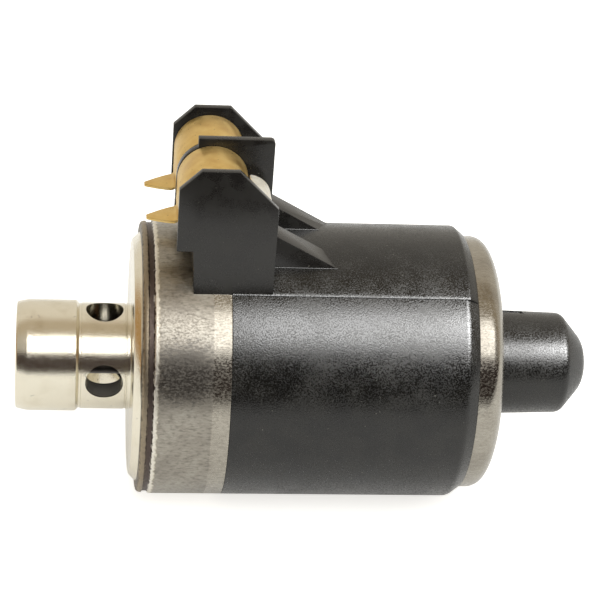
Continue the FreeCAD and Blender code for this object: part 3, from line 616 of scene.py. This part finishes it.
def make_can_steel():
    material, tree, position = new_material("can_steel")
    axes = add(tree, SPLIT, [position]).outputs
    along = axes["X"]
    drawn = add(tree, STRETCH, {"Vector": position, "Scale": (1 / 6, 1, 1)})
    drawn = add(tree, NOISE, (drawn, per_mm(0.13), 3.0))
    scuff = add(tree, STRETCH, {"Vector": position, "Scale": (1 / 2, 1, 1)})
    scuff = add(tree, NOISE, (scuff, per_mm(0.3), 6.0))
    dust = add(tree, STRETCH, {"Vector": position, "Scale": (1 / 1.6, 1, 1)})
    dust = add(tree, NOISE, (dust, per_mm(0.16), 2.0))
    cloud = add(tree, NOISE, (position, per_mm(3.0), 4.0))

    polish = add(tree, RANGE, (along, *(x * MM for x in POLISH_FRONT)), **EASED)
    polish_rear = add(tree, RANGE, (along, *(x * MM for x in POLISH_REAR)), **EASED)
    polish = add(tree, MATH, (polish, polish_rear), **TIMES)
    cup = add(tree, RANGE, (along, *(x * MM for x in CUP_START)), **EASED)
    lip = add(tree, RANGE, (along, (GROOVE_END + 0.45) * MM, (GROOVE_END + 0.35) * MM), **EASED)

    lines = add(tree, RANGE, (drawn, 0.35, 0.65, 0.0, 0.35), **EASED)
    wall = add(tree, RANGE, (cup, 0.0, 1.0, 1.0, 0.0))
    worn = add(tree, RANGE, (scuff, 0.45, 0.7, 0.0, 0.5), **EASED)
    worn = add(tree, MATH, (worn, wall), **TIMES)
    # The rub mark is an arched patch, and its edge wanders with the scuffs.
    away = add(tree, STRETCH, {
        "Vector": position,
        "Location": (-RUB_X / RUB_HALF_LONG, 0, -RUB_Z / RUB_HALF_HIGH),
        "Scale": (per_mm(RUB_HALF_LONG), 0, per_mm(RUB_HALF_HIGH)),
    })
    away = add(tree, VECTOR, [away], operation="LENGTH")
    away = add(tree, MATH, (away, add(tree, RANGE, (scuff, 0.3, 0.7, -0.4, 0.4), **EASED)))
    rub = add(tree, RANGE, (away, 1.15, 0.8), **EASED)
    rub = add(tree, MATH, (rub, add(tree, RANGE, (axes["Y"], 0.0, -1 * MM), **EASED)), **TIMES)
    rubbed = add(tree, MATH, (rub, 0.55), **TIMES)
    polished = add(tree, MATH, (polish, 0.25), **TIMES)
    base = add(tree, RAMP, [cloud], [(0.3, "98938A"), (0.5, "A49F95"), (0.7, "ACA89E")])
    for share, colour in ((lines, "7C766C"), (worn, "635E57"), (rubbed, "54524F"), (polished, "C0BAAD")):
        base = add(tree, MIX, (share, base, linear(colour)), **COLOURS)

    # The colours of the rolled lip run round it in bands with ragged edges: brown on the rim, darker in the
    # groove, and behind the groove a bright line that is partly wear and partly a painted highlight, where a
    # raised ridge would catch the light.
    wander = add(tree, NOISE, (position, per_mm(0.45), 4.0))
    wander = add(tree, RANGE, (wander, 0.3, 0.7, -RAGGED * MM, RAGGED * MM))
    ragged = add(tree, MATH, (along, wander))
    rolled = add(tree, RAMP, [add(tree, RANGE, (ragged, *(x * MM for x in LIP_BAND_SPAN)))], LIP_BANDS_AND_HIGHLIGHT)
    past_lip = add(tree, RANGE, (ragged, 2.55 * MM, 2.65 * MM), **EASED)
    base = add(tree, MIX, (past_lip, rolled, base), **COLOURS)

    rough = add(tree, RANGE, (dust, 0.4, 0.65, 0.3, 0.49), **EASED)
    for place, change in ((lip, 0.08), (polish, -0.1), (cup, -0.14)):
        rough = add(tree, MATH, (place, change, rough), **TIMES_PLUS)
    height = add(tree, MATH, (scuff, 0.4, drawn), **TIMES_PLUS)
    shader = add(tree, SURFACE, {
        "Base Color": base,
        "Metallic": 1.0,
        "Roughness": rough,
        "Normal": add(tree, BUMP, {"Height": height, "Distance": LINE_HEIGHT * MM}),
    })
    add(tree, OUTPUT, [shader])
    return material


can_steel = make_can_steel()
print("can steel:", len(can_steel.node_tree.nodes), "nodes")

# %% [markdown]
# The can's profile is one closed wall: the rolled lip, a shallow groove behind it, the wide front, the step
# where the sleeve starts, and the narrower rear that rounds into the end. The window for the terminal posts
# is cut under the contact holder, as on the real can.

# %% Can
WALL = 1.35
LIP_FRONT = can_low.x - 0.15
LIP_RADIUS = CAN_RADIUS - 0.1
GROOVE_RADIUS = CAN_RADIUS - 0.26
REAR_RADIUS = 14.05
REAR_INSIDE = REAR_RADIUS - 1.15
SHOULDER = 10.16
STEP_INSIDE = 9.82
END_BEND = 1.35
END_DISH = 0.3
END_FLAT = REAR_RADIUS - 3.3
END_WALL = 1.3
CORE_HOLE = 3.62
WINDOW = ((9.67, -7.45, 8.0), (13.35, 7.45, 16.0))


def make_can():
    end = can_high.x
    shape = turned([
        (LIP_FRONT, CAN_RADIUS - WALL),
        (LIP_FRONT, LIP_RADIUS, 0.42),
        (GROOVE_START, LIP_RADIUS, 0.06),
        (GROOVE_START + 0.06, GROOVE_RADIUS, 0.05),
        (GROOVE_END - 0.08, GROOVE_RADIUS, 0.05),
        (GROOVE_END + 0.05, CAN_RADIUS, 0.12),
        (SHOULDER, CAN_RADIUS, 0.06),
        (SHOULDER, REAR_RADIUS),
        (end - END_BEND, REAR_RADIUS, 0.75),
        (end - END_DISH, REAR_RADIUS - END_BEND, 0.75),
        (end, END_FLAT, 0.8),
        (end, CORE_HOLE, 0.1),
        (end - END_WALL, CORE_HOLE),
        (end - END_WALL, REAR_INSIDE, 1.2),
        (STEP_INSIDE, REAR_INSIDE),
        (STEP_INSIDE, CAN_RADIUS - WALL),
    ])
    piece(carved(shape, block(*WINDOW)), "drawn_can", "housing", "can_steel", can_steel, "housing_can")


make_can()

# %% [markdown]
# The sleeve is black glass-filled nylon, moulded over the can. The mould's surface gives an orange-peel skin,
# so a broad highlight breaks into specks. They come from fine changes of roughness, with a shallow bump to
# go with them. Along the sleeve the skin is duller in some places and glossier in others, so a row of greys
# gives how dull each place is. The base is a very dark warm grey, and the gloss is that of plastic.

# %% Black nylon
SLEEVE_SPAN = (10, 38)
SLEEVE_WANDER = 2
SLEEVE_DULL = 0.22
DULL_PLACES = [
    (0.0, "303030"), (0.2, "000000"), (0.33, "909090"), (0.5, "505050"), (0.68, "808080"), (0.78, "A0A0A0"),
    (0.88, "000000"), (1.0, "000000"),
]


def make_black_nylon(name, base, roughness, peel_mm, peel_depth, sparkle, dull_places=()):
    material, tree, position = new_material(name)
    cloud = add(tree, NOISE, (position, per_mm(2.6), 3.0))
    faded = add(tree, RANGE, (cloud, 0.35, 0.65, 0.0, 0.5), **EASED)
    colour = add(tree, MIX, (faded, linear(base), linear("24231F")), **COLOURS)
    speck = add(tree, RANGE, (add(tree, NOISE, (position, per_mm(0.3), 1.0)), 0.78, 0.8, 0.0, 0.7), **EASED)
    colour = add(tree, MIX, (speck, colour, linear("6A685F")), **COLOURS)
    rough = add(tree, RANGE, (cloud, 0.4, 0.65, 0.0, 0.07), **EASED)
    if dull_places:
        wander = add(tree, RANGE, (cloud, 0.3, 0.7, -SLEEVE_WANDER * MM, SLEEVE_WANDER * MM))
        place = add(tree, MATH, (add(tree, SPLIT, [position]), wander))
        place = add(tree, RANGE, (place, *(x * MM for x in SLEEVE_SPAN)))
        dull = add(tree, SPLIT, [add(tree, RAMP, [place], dull_places)])
        rough = add(tree, MATH, (dull, SLEEVE_DULL, rough), **TIMES_PLUS)
    dust = add(tree, NOISE, (position, per_mm(peel_mm), 2.0))
    rough = add(tree, MATH, (rough, add(tree, RANGE, (dust, 0.4, 0.65, -0.04, sparkle), **EASED)))
    shader = add(tree, SURFACE, {
        "Base Color": colour,
        "Roughness": add(tree, MATH, (rough, roughness)),
        "Normal": add(tree, BUMP, {"Height": dust, "Distance": peel_depth * MM}),
    })
    add(tree, OUTPUT, [shader])
    return material


sleeve_nylon = make_black_nylon("sleeve_nylon", "121210", roughness=0.16, peel_mm=0.15, peel_depth=0.022,
                                sparkle=0.22, dull_places=DULL_PLACES)
holder_nylon = make_black_nylon("holder_nylon", "141210", roughness=0.27, peel_mm=0.12, peel_depth=0.006,
                                sparkle=0.0)
print("sleeve nylon:", len(sleeve_nylon.node_tree.nodes), "nodes")

# %% [markdown]
# The shell is a turned ring with a chamfer at its rear. The raised upper part is the half that the other
# side of the mould made, and it ends in a parting line on each side, level with the outer plates. A part of
# a turn makes it.

# %% Sleeve shell
SLEEVE_END = sleeve_high.x - 0.2
FIT = 0.02
EDGE_LENGTH = 1.3
EDGE_DROP = 0.95
RIDGE = 0.12
RIDGE_ROOT = CAN_RADIUS - 0.3
RIDGE_HALF_ANGLE = 33.7
RIDGE_END_GAP = 0.1
RIDGE_ROUNDING = 0.06


def make_shell():
    edge = SLEEVE_END - EDGE_LENGTH
    edge_radius = CAN_RADIUS - EDGE_DROP
    shell = turned([
        (SHOULDER + FIT, REAR_RADIUS + FIT),
        (SHOULDER + FIT, CAN_RADIUS, 0.05),
        (edge, CAN_RADIUS, 0.35),
        (SLEEVE_END, edge_radius, 0.25),
        (SLEEVE_END, REAR_RADIUS + FIT),
    ])
    ridge = turned([
        (SHOULDER + FIT, RIDGE_ROOT),
        (SHOULDER + FIT, CAN_RADIUS + RIDGE, 0.05),
        (edge + 0.2, CAN_RADIUS + RIDGE, 0.15),
        (SLEEVE_END - RIDGE_END_GAP, edge_radius + 2 * RIDGE, 0.1),
        (SLEEVE_END - RIDGE_END_GAP, edge_radius - 0.1),
        (edge, RIDGE_ROOT),
    ], steps=40, degrees=2 * RIDGE_HALF_ANGLE, start=-RIDGE_HALF_ANGLE)
    soften(ridge, RIDGE_ROUNDING, 60)
    piece(joined([shell, ridge]), "sleeve_shell", "housing", "black_plastic", sleeve_nylon, "connector_sleeve")


make_shell()

# %% [markdown]
# The contact holder stands on the shell. Two outer plates guard the contacts, and a middle plate parts them.
# Its front edge follows the contact's arch, as a guard. Each plate is an outline pushed along Y, from the
# step at its front foot round its slanted top.

# %% Holder plates
HOLDER_FRONT = 4.1
HOLDER_REAR = 14.45
HOLDER_TOP = sleeve_high.z
PLATE_OUT = 8.3
PLATE_IN = 7.45
PLATE_ROUNDING = 0.08
MIDDLE_HALF = 0.45
MIDDLE_ROUNDING = 0.07
STEP_Z = 17.6
FOOT_X = 6.1
FOOT_SLANT = 0.3
REAR_SLANT = 4.2
FRONT_SLANT_X = 2.25
FRONT_SLANT_Z = 2.2
CORNER = 0.4
CORNER_MIDDLE = 0.12
ARCH_X = 8.0
ARCH_Z = 22.4
ARCH_RADIUS = 3.75
GUARD_RADIUS = ARCH_RADIUS + 0.04


def outer_plate(low, high):
    foot = math.sqrt(CAN_RADIUS**2 - PLATE_OUT**2)
    return pushed([
        (HOLDER_FRONT, STEP_Z),
        (FOOT_X - FOOT_SLANT, STEP_Z),
        (FOOT_X, foot),
        (HOLDER_REAR, foot),
        (HOLDER_REAR, HOLDER_TOP - REAR_SLANT),
        (HOLDER_REAR - REAR_SLANT, HOLDER_TOP),
        (HOLDER_FRONT + FRONT_SLANT_X, HOLDER_TOP),
        (HOLDER_FRONT, HOLDER_TOP - FRONT_SLANT_Z),
    ], low, high, PLATE_ROUNDING)


def middle_plate():
    guard_x = HOLDER_FRONT + FRONT_SLANT_X
    turn = math.degrees(math.acos((ARCH_X - guard_x) / GUARD_RADIUS))
    return pushed([
        (HOLDER_FRONT, STEP_Z),
        (FOOT_X - FOOT_SLANT, STEP_Z),
        (FOOT_X, CAN_RADIUS),
        (HOLDER_REAR, CAN_RADIUS),
        (HOLDER_REAR, HOLDER_TOP - CORNER),
        (HOLDER_REAR - CORNER_MIDDLE, HOLDER_TOP - CORNER_MIDDLE),
        (HOLDER_REAR - CORNER, HOLDER_TOP),
        (guard_x, HOLDER_TOP),
        (guard_x, ARCH_Z + GUARD_RADIUS * math.sin(math.radians(turn))),
        {"x": ARCH_X, "z": ARCH_Z, "degrees": turn, "steps": 18},
    ], -MIDDLE_HALF, MIDDLE_HALF, MIDDLE_ROUNDING)


print("plates", round(HOLDER_REAR - HOLDER_FRONT, 2), "mm long, up to", round(HOLDER_TOP, 2), "mm")

# %% [markdown]
# Between the plates are the floor of the bays, a keel under the middle plate and a back wall with two sloping
# ribs behind it. The mould left a thin flash along one side of each rib's foot. What reaches into the can or
# the shell is carved away, so the holder sits on them without cutting through.

# %% Contact holder
FLOOR_Z = 17.0
FLOOR_FOOT = 12.9
KEEL_HALF = 1.85
KEEL_FOOT = 13.5
BACK_WALL_Z = 18.3
BACK_WALL_ROUNDING = 0.05
LAP = 0.1
RIB_IN = 2.2
RIB_OUT = 5.2
RIB_FOOT = 13
RIB_TOP = 18.15
RIB_SLOPE = 0.553
RIB_ROOT = HOLDER_REAR - 1
FLASH = 0.1


def rib(side):
    """One rib, with the thin flash along its foot on the side towards -Y."""
    low, high = sorted((side * RIB_IN, side * RIB_OUT))
    body = pushed([
        (RIB_ROOT, RIB_FOOT),
        (HOLDER_REAR + (RIB_TOP - RIB_FOOT) / RIB_SLOPE, RIB_FOOT),
        (HOLDER_REAR, RIB_TOP),
        (RIB_ROOT, RIB_TOP),
    ], low, high, MIDDLE_ROUNDING)
    foot_z = math.sqrt(CAN_RADIUS**2 - low**2) + RIDGE
    foot_x = HOLDER_REAR + (RIB_TOP - foot_z) / RIB_SLOPE
    flash = rod(FLASH, ((HOLDER_REAR + foot_x) / 2, low, foot_z), foot_x - HOLDER_REAR, (1, 0, 0), 12)
    return [body, flash]


def make_holder():
    way_front, way_rear = WINDOW[0][0], WINDOW[1][0]
    side = PLATE_IN + LAP
    shapes = [
        outer_plate(-PLATE_OUT, -PLATE_IN),
        outer_plate(PLATE_IN, PLATE_OUT),
        middle_plate(),
        *rib(-1),
        *rib(1),
        block((FOOT_X - LAP, -side, FLOOR_FOOT), (way_front, side, FLOOR_Z)),
        block((way_front - LAP, -KEEL_HALF, KEEL_FOOT), (HOLDER_REAR, KEEL_HALF, FLOOR_Z)),
        block((way_rear, -side, FLOOR_FOOT), (HOLDER_REAR, side, BACK_WALL_Z), BACK_WALL_ROUNDING),
    ]
    inside = turned([
        (0, 0),
        (0, CAN_RADIUS + FIT),
        (SHOULDER, CAN_RADIUS + FIT),
        (SHOULDER, REAR_RADIUS + FIT),
        (SLEEVE_END, REAR_RADIUS + FIT),
        (SLEEVE_END, 0),
    ])
    shape = carved(joined(shapes), inside)
    piece(shape, "contact_holder", "housing", "black_plastic", holder_nylon, "connector_sleeve")


make_holder()

# %% [markdown]
# The contacts are brass strip as it comes from the rolls: satin, with fine lines across the strip's bend and
# a few dark specks of tarnish. The colour wanders a little from patch to patch, and the roughness with it.

# %% Brass
ROLL_LINE_LENGTH = 14
ROLL_LINE_DEPTH = 0.006


def make_brass():
    material, tree, position = new_material("contact_brass")
    rolled = add(tree, STRETCH, {"Vector": position, "Scale": (1, 1 / ROLL_LINE_LENGTH, 1)})
    rolled = add(tree, NOISE, (rolled, per_mm(0.08), 3.0))
    cloud = add(tree, NOISE, (position, per_mm(1.6), 4.0))
    colour = add(tree, RAMP, [cloud], [(0.3, "D2AE68"), (0.5, "DEBF7A"), (0.7, "E8CE8E")])
    speck = add(tree, RANGE, (add(tree, NOISE, (position, per_mm(0.3), 1.0)), 0.72, 0.76, 0.0, 0.8), **EASED)
    shader = add(tree, SURFACE, {
        "Base Color": add(tree, MIX, (speck, colour, linear("6B5A3C")), **COLOURS),
        "Metallic": 1.0,
        "Roughness": add(tree, RANGE, (cloud, 0.3, 0.7, 0.42, 0.55), **EASED),
        "Normal": add(tree, BUMP, {"Height": rolled, "Distance": ROLL_LINE_DEPTH * MM}),
    })
    add(tree, OUTPUT, [shader])
    return material


contact_brass = make_brass()
print("brass:", len(contact_brass.node_tree.nodes), "nodes")

# %% [markdown]
# Each contact is bent to an arch that springs down when the valve body's pad presses on it, and a pointed
# tongue is turned out at its front. The strip starts as a line along its middle, in which the arch is spun.
# The line is drawn out to the strip's width, the tongue is narrowed to its point, and the sheet then gets its
# thickness.

# %% Contacts
STRIP = 0.3
STRIP_IN = 0.6
STRIP_OUT = 7.1
STRIP_ROUNDING = 0.04
TONGUE_TIP = contact_low.x
TONGUE_Z = 19.78
TONGUE_DROP = 0.35
TONGUE_HALF = 1.7
TONGUE_CURVE = 1.25
TIP_HALF = 0.3
TIP_LENGTH = 0.35
BEND = 0.45
ARCH_FRONT = ARCH_X - ARCH_RADIUS
LEG_BOTTOM = 18.5


def contact_line(middle_y):
    """The strip's middle as a chain of edges: tongue, bend, arch and leg."""
    bm = bmesh.new()
    tip = bm.verts.new((TONGUE_TIP, middle_y, TONGUE_Z - TONGUE_DROP))
    taper = bm.verts.new((TONGUE_TIP + TIP_LENGTH, middle_y, TONGUE_Z - TONGUE_DROP * 0.9))
    corner = bm.verts.new((ARCH_FRONT, middle_y, TONGUE_Z))
    top = bm.verts.new((ARCH_FRONT, middle_y, ARCH_Z))
    for pair in ((tip, taper), (taper, corner), (corner, top)):
        bm.edges.new(pair)
    bmesh.ops.bevel(bm, geom=[corner], offset=BEND, offset_type="OFFSET", segments=5, profile=0.5,
                    affect="VERTICES", material=-1)
    arc = bmesh.ops.spin(bm, geom=[top], cent=(ARCH_X, middle_y, ARCH_Z), axis=(0, 1, 0), angle=math.pi,
                         steps=40)
    end = only_verts(arc["geom_last"])[0]
    foot = bm.verts.new((end.co.x, middle_y, LEG_BOTTOM))
    bm.edges.new((end, foot))
    bmesh.ops.remove_doubles(bm, verts=bm.verts, dist=WELD)
    flat = [edge for edge in bm.edges if all(v.co.z < TONGUE_Z + WELD for v in edge.verts) and
            edge.calc_length() > 2 * BEND and max(v.co.x for v in edge.verts) < ARCH_FRONT]
    bmesh.ops.subdivide_edges(bm, edges=flat, cuts=7)
    return bm


def narrow_tongue(bm, middle_y):
    """Move the tongue's edges in, from its root to its tip."""
    root_x = ARCH_FRONT - BEND
    for vert in bm.verts:
        if vert.co.x < ARCH_FRONT + WELD and vert.co.z < TONGUE_Z + BEND / 2:
            reach = min((vert.co.x - TONGUE_TIP) / (root_x - TONGUE_TIP), 1.0)
            wide = TIP_HALF + (TONGUE_HALF - TIP_HALF) * (1 - (1 - reach)**TONGUE_CURVE)
            vert.co.y = middle_y + math.copysign(wide, vert.co.y - middle_y)


def make_contact(name, side, stands_for, body):
    middle_y = side * (STRIP_IN + STRIP_OUT) / 2
    width = STRIP_OUT - STRIP_IN
    bm = contact_line(middle_y)
    bmesh.ops.translate(bm, verts=bm.verts, vec=(0, -width / 2, 0))
    drawn = bmesh.ops.extrude_edge_only(bm, edges=bm.edges[:])["geom"]
    bmesh.ops.translate(bm, verts=only_verts(drawn), vec=(0, width, 0))
    narrow_tongue(bm, middle_y)
    bmesh.ops.recalc_face_normals(bm, faces=bm.faces)
    arch_face = max(bm.faces, key=lambda face: face.calc_center_median().z)
    inward = STRIP if arch_face.normal.z > 0 else -STRIP
    bmesh.ops.solidify(bm, geom=bm.faces[:], thickness=inward)
    bmesh.ops.recalc_face_normals(bm, faces=bm.faces)
    soften(bm, STRIP_ROUNDING, 50)
    top_z = max(vert.co.z for vert in bm.verts)
    print(name, "arch top", round(top_z, 2), "mm, as the frame's", round(contact_high.z, 2))
    piece(bm, name, body, "contact_brass", contact_brass, stands_for)


make_contact("right_strip", -1, "right_contact", "right_spring_contact")
make_contact("left_strip", 1, "left_contact", "left_spring_contact")

# %% [markdown]
# The bobbin is natural nylon: cream, a little waxy and slightly see-through, so some light passes under the
# skin. Handling has left a thin, patchy film of dirt on it.

# %% Natural nylon
SKIN_DEPTH = 0.02
LIGHT_REACH = (0.9 * MM, 0.7 * MM, 0.4 * MM)


def make_natural_nylon():
    material, tree, position = new_material("natural_nylon")
    cloud = add(tree, NOISE, (position, per_mm(0.9), 4.0))
    colour = add(tree, RAMP, [cloud], [(0.3, "D9D2C0"), (0.7, "EFEADB")])
    dirt = add(tree, RANGE, (add(tree, NOISE, (position, per_mm(0.35), 2.0)), 0.6, 0.72, 0.0, 0.55), **EASED)
    skin = add(tree, NOISE, (position, per_mm(0.25), 3.0))
    shader = add(tree, SURFACE, {
        "Base Color": add(tree, MIX, (dirt, colour, linear("9A9280")), **COLOURS),
        "Roughness": 0.45,
        "Subsurface Weight": 0.15,
        "Subsurface Radius": LIGHT_REACH,
        "Subsurface Scale": 1.0,
        "Normal": add(tree, BUMP, {"Height": skin, "Distance": SKIN_DEPTH * MM}),
    })
    add(tree, OUTPUT, [shader])
    return material


natural_nylon = make_natural_nylon()
print("natural nylon:", len(natural_nylon.node_tree.nodes), "nodes")

# %% [markdown]
# Only the bobbin's two terminal posts show, beside the contacts. Each is an outline pushed along Y: a stem, a
# round head and the slot that the contact's leg drops in. The spool below them is turned.

# %% Bobbin
HUB_RADIUS = 5.9
BOBBIN_BORE = 4.9
BOBBIN_FLANGE = 12.6
FLANGE_WIDE = 1.2
POST_X = 11.65
POST_Z = 21.2
POST_HEAD = 2.45
POST_STEM = 1.55
POST_ROOT = BOBBIN_FLANGE - 1.5
POST_IN = 2.0
POST_OUT = 7.3
POST_ROUNDING = 0.15
LEG_X = 11.6
SLOT_RIGHT = LEG_X + STRIP / 2 + 0.02
SLOT_LEFT = LEG_X - 0.7
SLOT_FLOOR = 21.0


def post(low, high):
    neck = math.sqrt(POST_HEAD**2 - POST_STEM**2)
    neck_angle = math.degrees(math.asin(neck / POST_HEAD))
    right_angle = math.degrees(math.acos((SLOT_RIGHT - POST_X) / POST_HEAD))
    left_angle = math.degrees(math.acos((SLOT_LEFT - POST_X) / POST_HEAD))
    return pushed([
        (POST_X + POST_STEM, POST_ROOT),
        (POST_X + POST_STEM, POST_Z - neck),
        {"x": POST_X, "z": POST_Z, "degrees": right_angle + neck_angle, "steps": 24},
        (SLOT_RIGHT, SLOT_FLOOR),
        (SLOT_LEFT, SLOT_FLOOR),
        (SLOT_LEFT, POST_Z + POST_HEAD * math.sin(math.radians(left_angle))),
        {"x": POST_X, "z": POST_Z, "degrees": 180 + neck_angle - left_angle, "steps": 20},
        (POST_X - POST_STEM, POST_ROOT),
    ], low, high, POST_ROUNDING)


def make_bobbin():
    front, rear = bobbin_low.x, bobbin_high.x
    spool = turned([
        (front, BOBBIN_BORE),
        (rear, BOBBIN_BORE),
        (rear, BOBBIN_FLANGE),
        (rear - FLANGE_WIDE, BOBBIN_FLANGE),
        (rear - FLANGE_WIDE, HUB_RADIUS),
        (front + FLANGE_WIDE, HUB_RADIUS),
        (front + FLANGE_WIDE, BOBBIN_FLANGE),
        (front, BOBBIN_FLANGE),
    ], steps=96)
    shape = joined([spool, post(-POST_OUT, -POST_IN), post(POST_IN, POST_OUT)])
    piece(shape, "bobbin_moulding", "housing", "natural_nylon", natural_nylon, "coil_bobbin")


make_bobbin()

# %% [markdown]
# The end cap is the same black nylon with a duller, drier skin. Its barrel has draft, its shoulder and tip
# are rounded, and a shallow notch is left where it meets the can, a little to the side of its top.

# %% End cap
CAP_ROOT = 5.84
CAP_SHOULDER_X = 48.15
CAP_SHOULDER = 5.6
CAP_TIP_X = 50.55
CAP_TIP = 2.75
CAP_END = CAP_TIP - 1.2
CAP_HOLLOW = 3.65
CAP_HOLLOW_END = 44.35
NOTCH_LENGTH = 4.0
NOTCH_FLOOR = CAP_ROOT - 0.35
NOTCH_TOP = 8
NOTCH_HALF = 1.1
NOTCH_TURN = math.radians(22)

cap_nylon = make_black_nylon("cap_nylon", "1A1A18", roughness=0.24, peel_mm=0.16, peel_depth=0.02, sparkle=0.2)


def make_cap():
    shape = turned([
        (cap_low.x, CAP_HOLLOW),
        (cap_low.x, CAP_ROOT, 0.08),
        (CAP_SHOULDER_X, CAP_SHOULDER, 0.45),
        (CAP_TIP_X, CAP_TIP, 0.6),
        (cap_high.x, CAP_END, 0.5),
        (cap_high.x, 0),
        (CAP_HOLLOW_END, 0),
        (CAP_HOLLOW_END, CAP_HOLLOW),
    ], steps=128)
    notch = block((cap_low.x - 1, -NOTCH_HALF, NOTCH_FLOOR), (can_high.x + NOTCH_LENGTH, NOTCH_HALF, NOTCH_TOP))
    aside = Matrix.Rotation(-NOTCH_TURN, 3, "X")
    bmesh.ops.rotate(notch, verts=notch.verts, cent=(0, 0, 0), matrix=aside)
    piece(carved(shape, notch), "cap_moulding", "housing", "black_plastic", cap_nylon, "end_cap")


make_cap()

# %% [markdown]
# The inner pieces hardly show, but the model can be opened, so each has the finish of what it is, and the push
# rod is painted dark as shade for the bore it sits in. Turned and ground metal share one recipe: a base colour,
# rings of tool marks that run round the axis, and a roughness that follows them. Wire enamel and tape share
# another: a clear coloured film, darker in patches.


# %% Finishes of the inner pieces
def make_turned_metal(name, colour, roughness):
    material, tree, position = new_material(name)
    marks = add(tree, STRETCH, {"Vector": position, "Scale": (1, 1 / 60, 1 / 60)})
    marks = add(tree, NOISE, (marks, per_mm(0.12), 2.0))
    cloud = add(tree, NOISE, (position, per_mm(2.0), 3.0))
    stained = add(tree, RANGE, (cloud, 0.35, 0.7, 0.0, 0.3), **EASED)
    shader = add(tree, SURFACE, {
        "Base Color": add(tree, MIX, (stained, linear(colour), linear("6F6A60")), **COLOURS),
        "Metallic": 1.0,
        "Roughness": add(tree, RANGE, (marks, 0.3, 0.7, roughness * 0.8, roughness * 1.3), **EASED),
        "Normal": add(tree, BUMP, {"Height": marks, "Distance": 0.004 * MM}),
    })
    add(tree, OUTPUT, [shader])
    return material


def make_film(name, colour, metallic, roughness):
    material, tree, position = new_material(name)
    cloud = add(tree, NOISE, (position, per_mm(1.2), 3.0))
    darker = add(tree, RANGE, (cloud, 0.3, 0.7, 0.0, 0.35), **EASED)
    skin = add(tree, NOISE, (position, per_mm(0.3), 3.0))
    shader = add(tree, SURFACE, {
        "Base Color": add(tree, MIX, (darker, linear(colour), linear("4A3420")), **COLOURS),
        "Metallic": metallic,
        "Roughness": roughness,
        "Normal": add(tree, BUMP, {"Height": skin, "Distance": 0.01 * MM}),
    })
    add(tree, OUTPUT, [shader])
    return material


# Ground and lapped bearing steel is close to a mirror.
ground_steel = make_turned_metal("ground_steel", "CFCDC6", 0.22)
# The rod sits deep in the nose's bore, and its dark grey is painted shade for that unlit place.
shaded_rod_steel = make_turned_metal("shaded_rod_steel", "3A3735", 0.4)
# Magnet iron is only turned and annealed, so it is grey and rather matt.
soft_iron = make_turned_metal("soft_iron", "B5B3AD", 0.38)
# Drawn stainless tube is paler and smoother than the iron.
drawn_stainless = make_turned_metal("drawn_stainless", "CDCCC8", 0.28)
# Spring wire is drawn bright, with a darker grey than stainless.
spring_wire = make_turned_metal("spring_wire", "A8A8A6", 0.3)
# Sintered bronze is pressed from powder, and its pores make it matt and brown.
sintered_bronze = make_turned_metal("sintered_bronze", "B98A54", 0.45)
# Enamel on copper wire looks like reddish metal under a gloss.
enamelled_copper = make_film("enamelled_copper", "B4582E", 0.9, 0.3)
# Polyimide tape is a glossy amber film.
amber_tape = make_film("amber_tape", "B57A2C", 0.0, 0.25)

FINISHES = {
    "valve_seat": ground_steel,
    "valve_ball": ground_steel,
    "push_rod": shaded_rod_steel,
    "guide_bush": sintered_bronze,
    "residual_shim": sintered_bronze,
    "armature": soft_iron,
    "pole_core": soft_iron,
    "flux_ring": soft_iron,
    "guide_tube": drawn_stainless,
    "return_spring": spring_wire,
    "preload_washer": spring_wire,
    "coil_winding": enamelled_copper,
    "right_coil_lead": enamelled_copper,
    "left_coil_lead": enamelled_copper,
    "winding_tape": amber_tape,
}
for name, finish in FINISHES.items():
    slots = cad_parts[name].data.materials
    slots.clear()
    slots.append(finish)
print(len(FINISHES), "inner nodes finished")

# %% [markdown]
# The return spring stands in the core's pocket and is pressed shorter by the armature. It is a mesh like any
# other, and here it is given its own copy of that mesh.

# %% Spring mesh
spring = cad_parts["return_spring"]
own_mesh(spring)
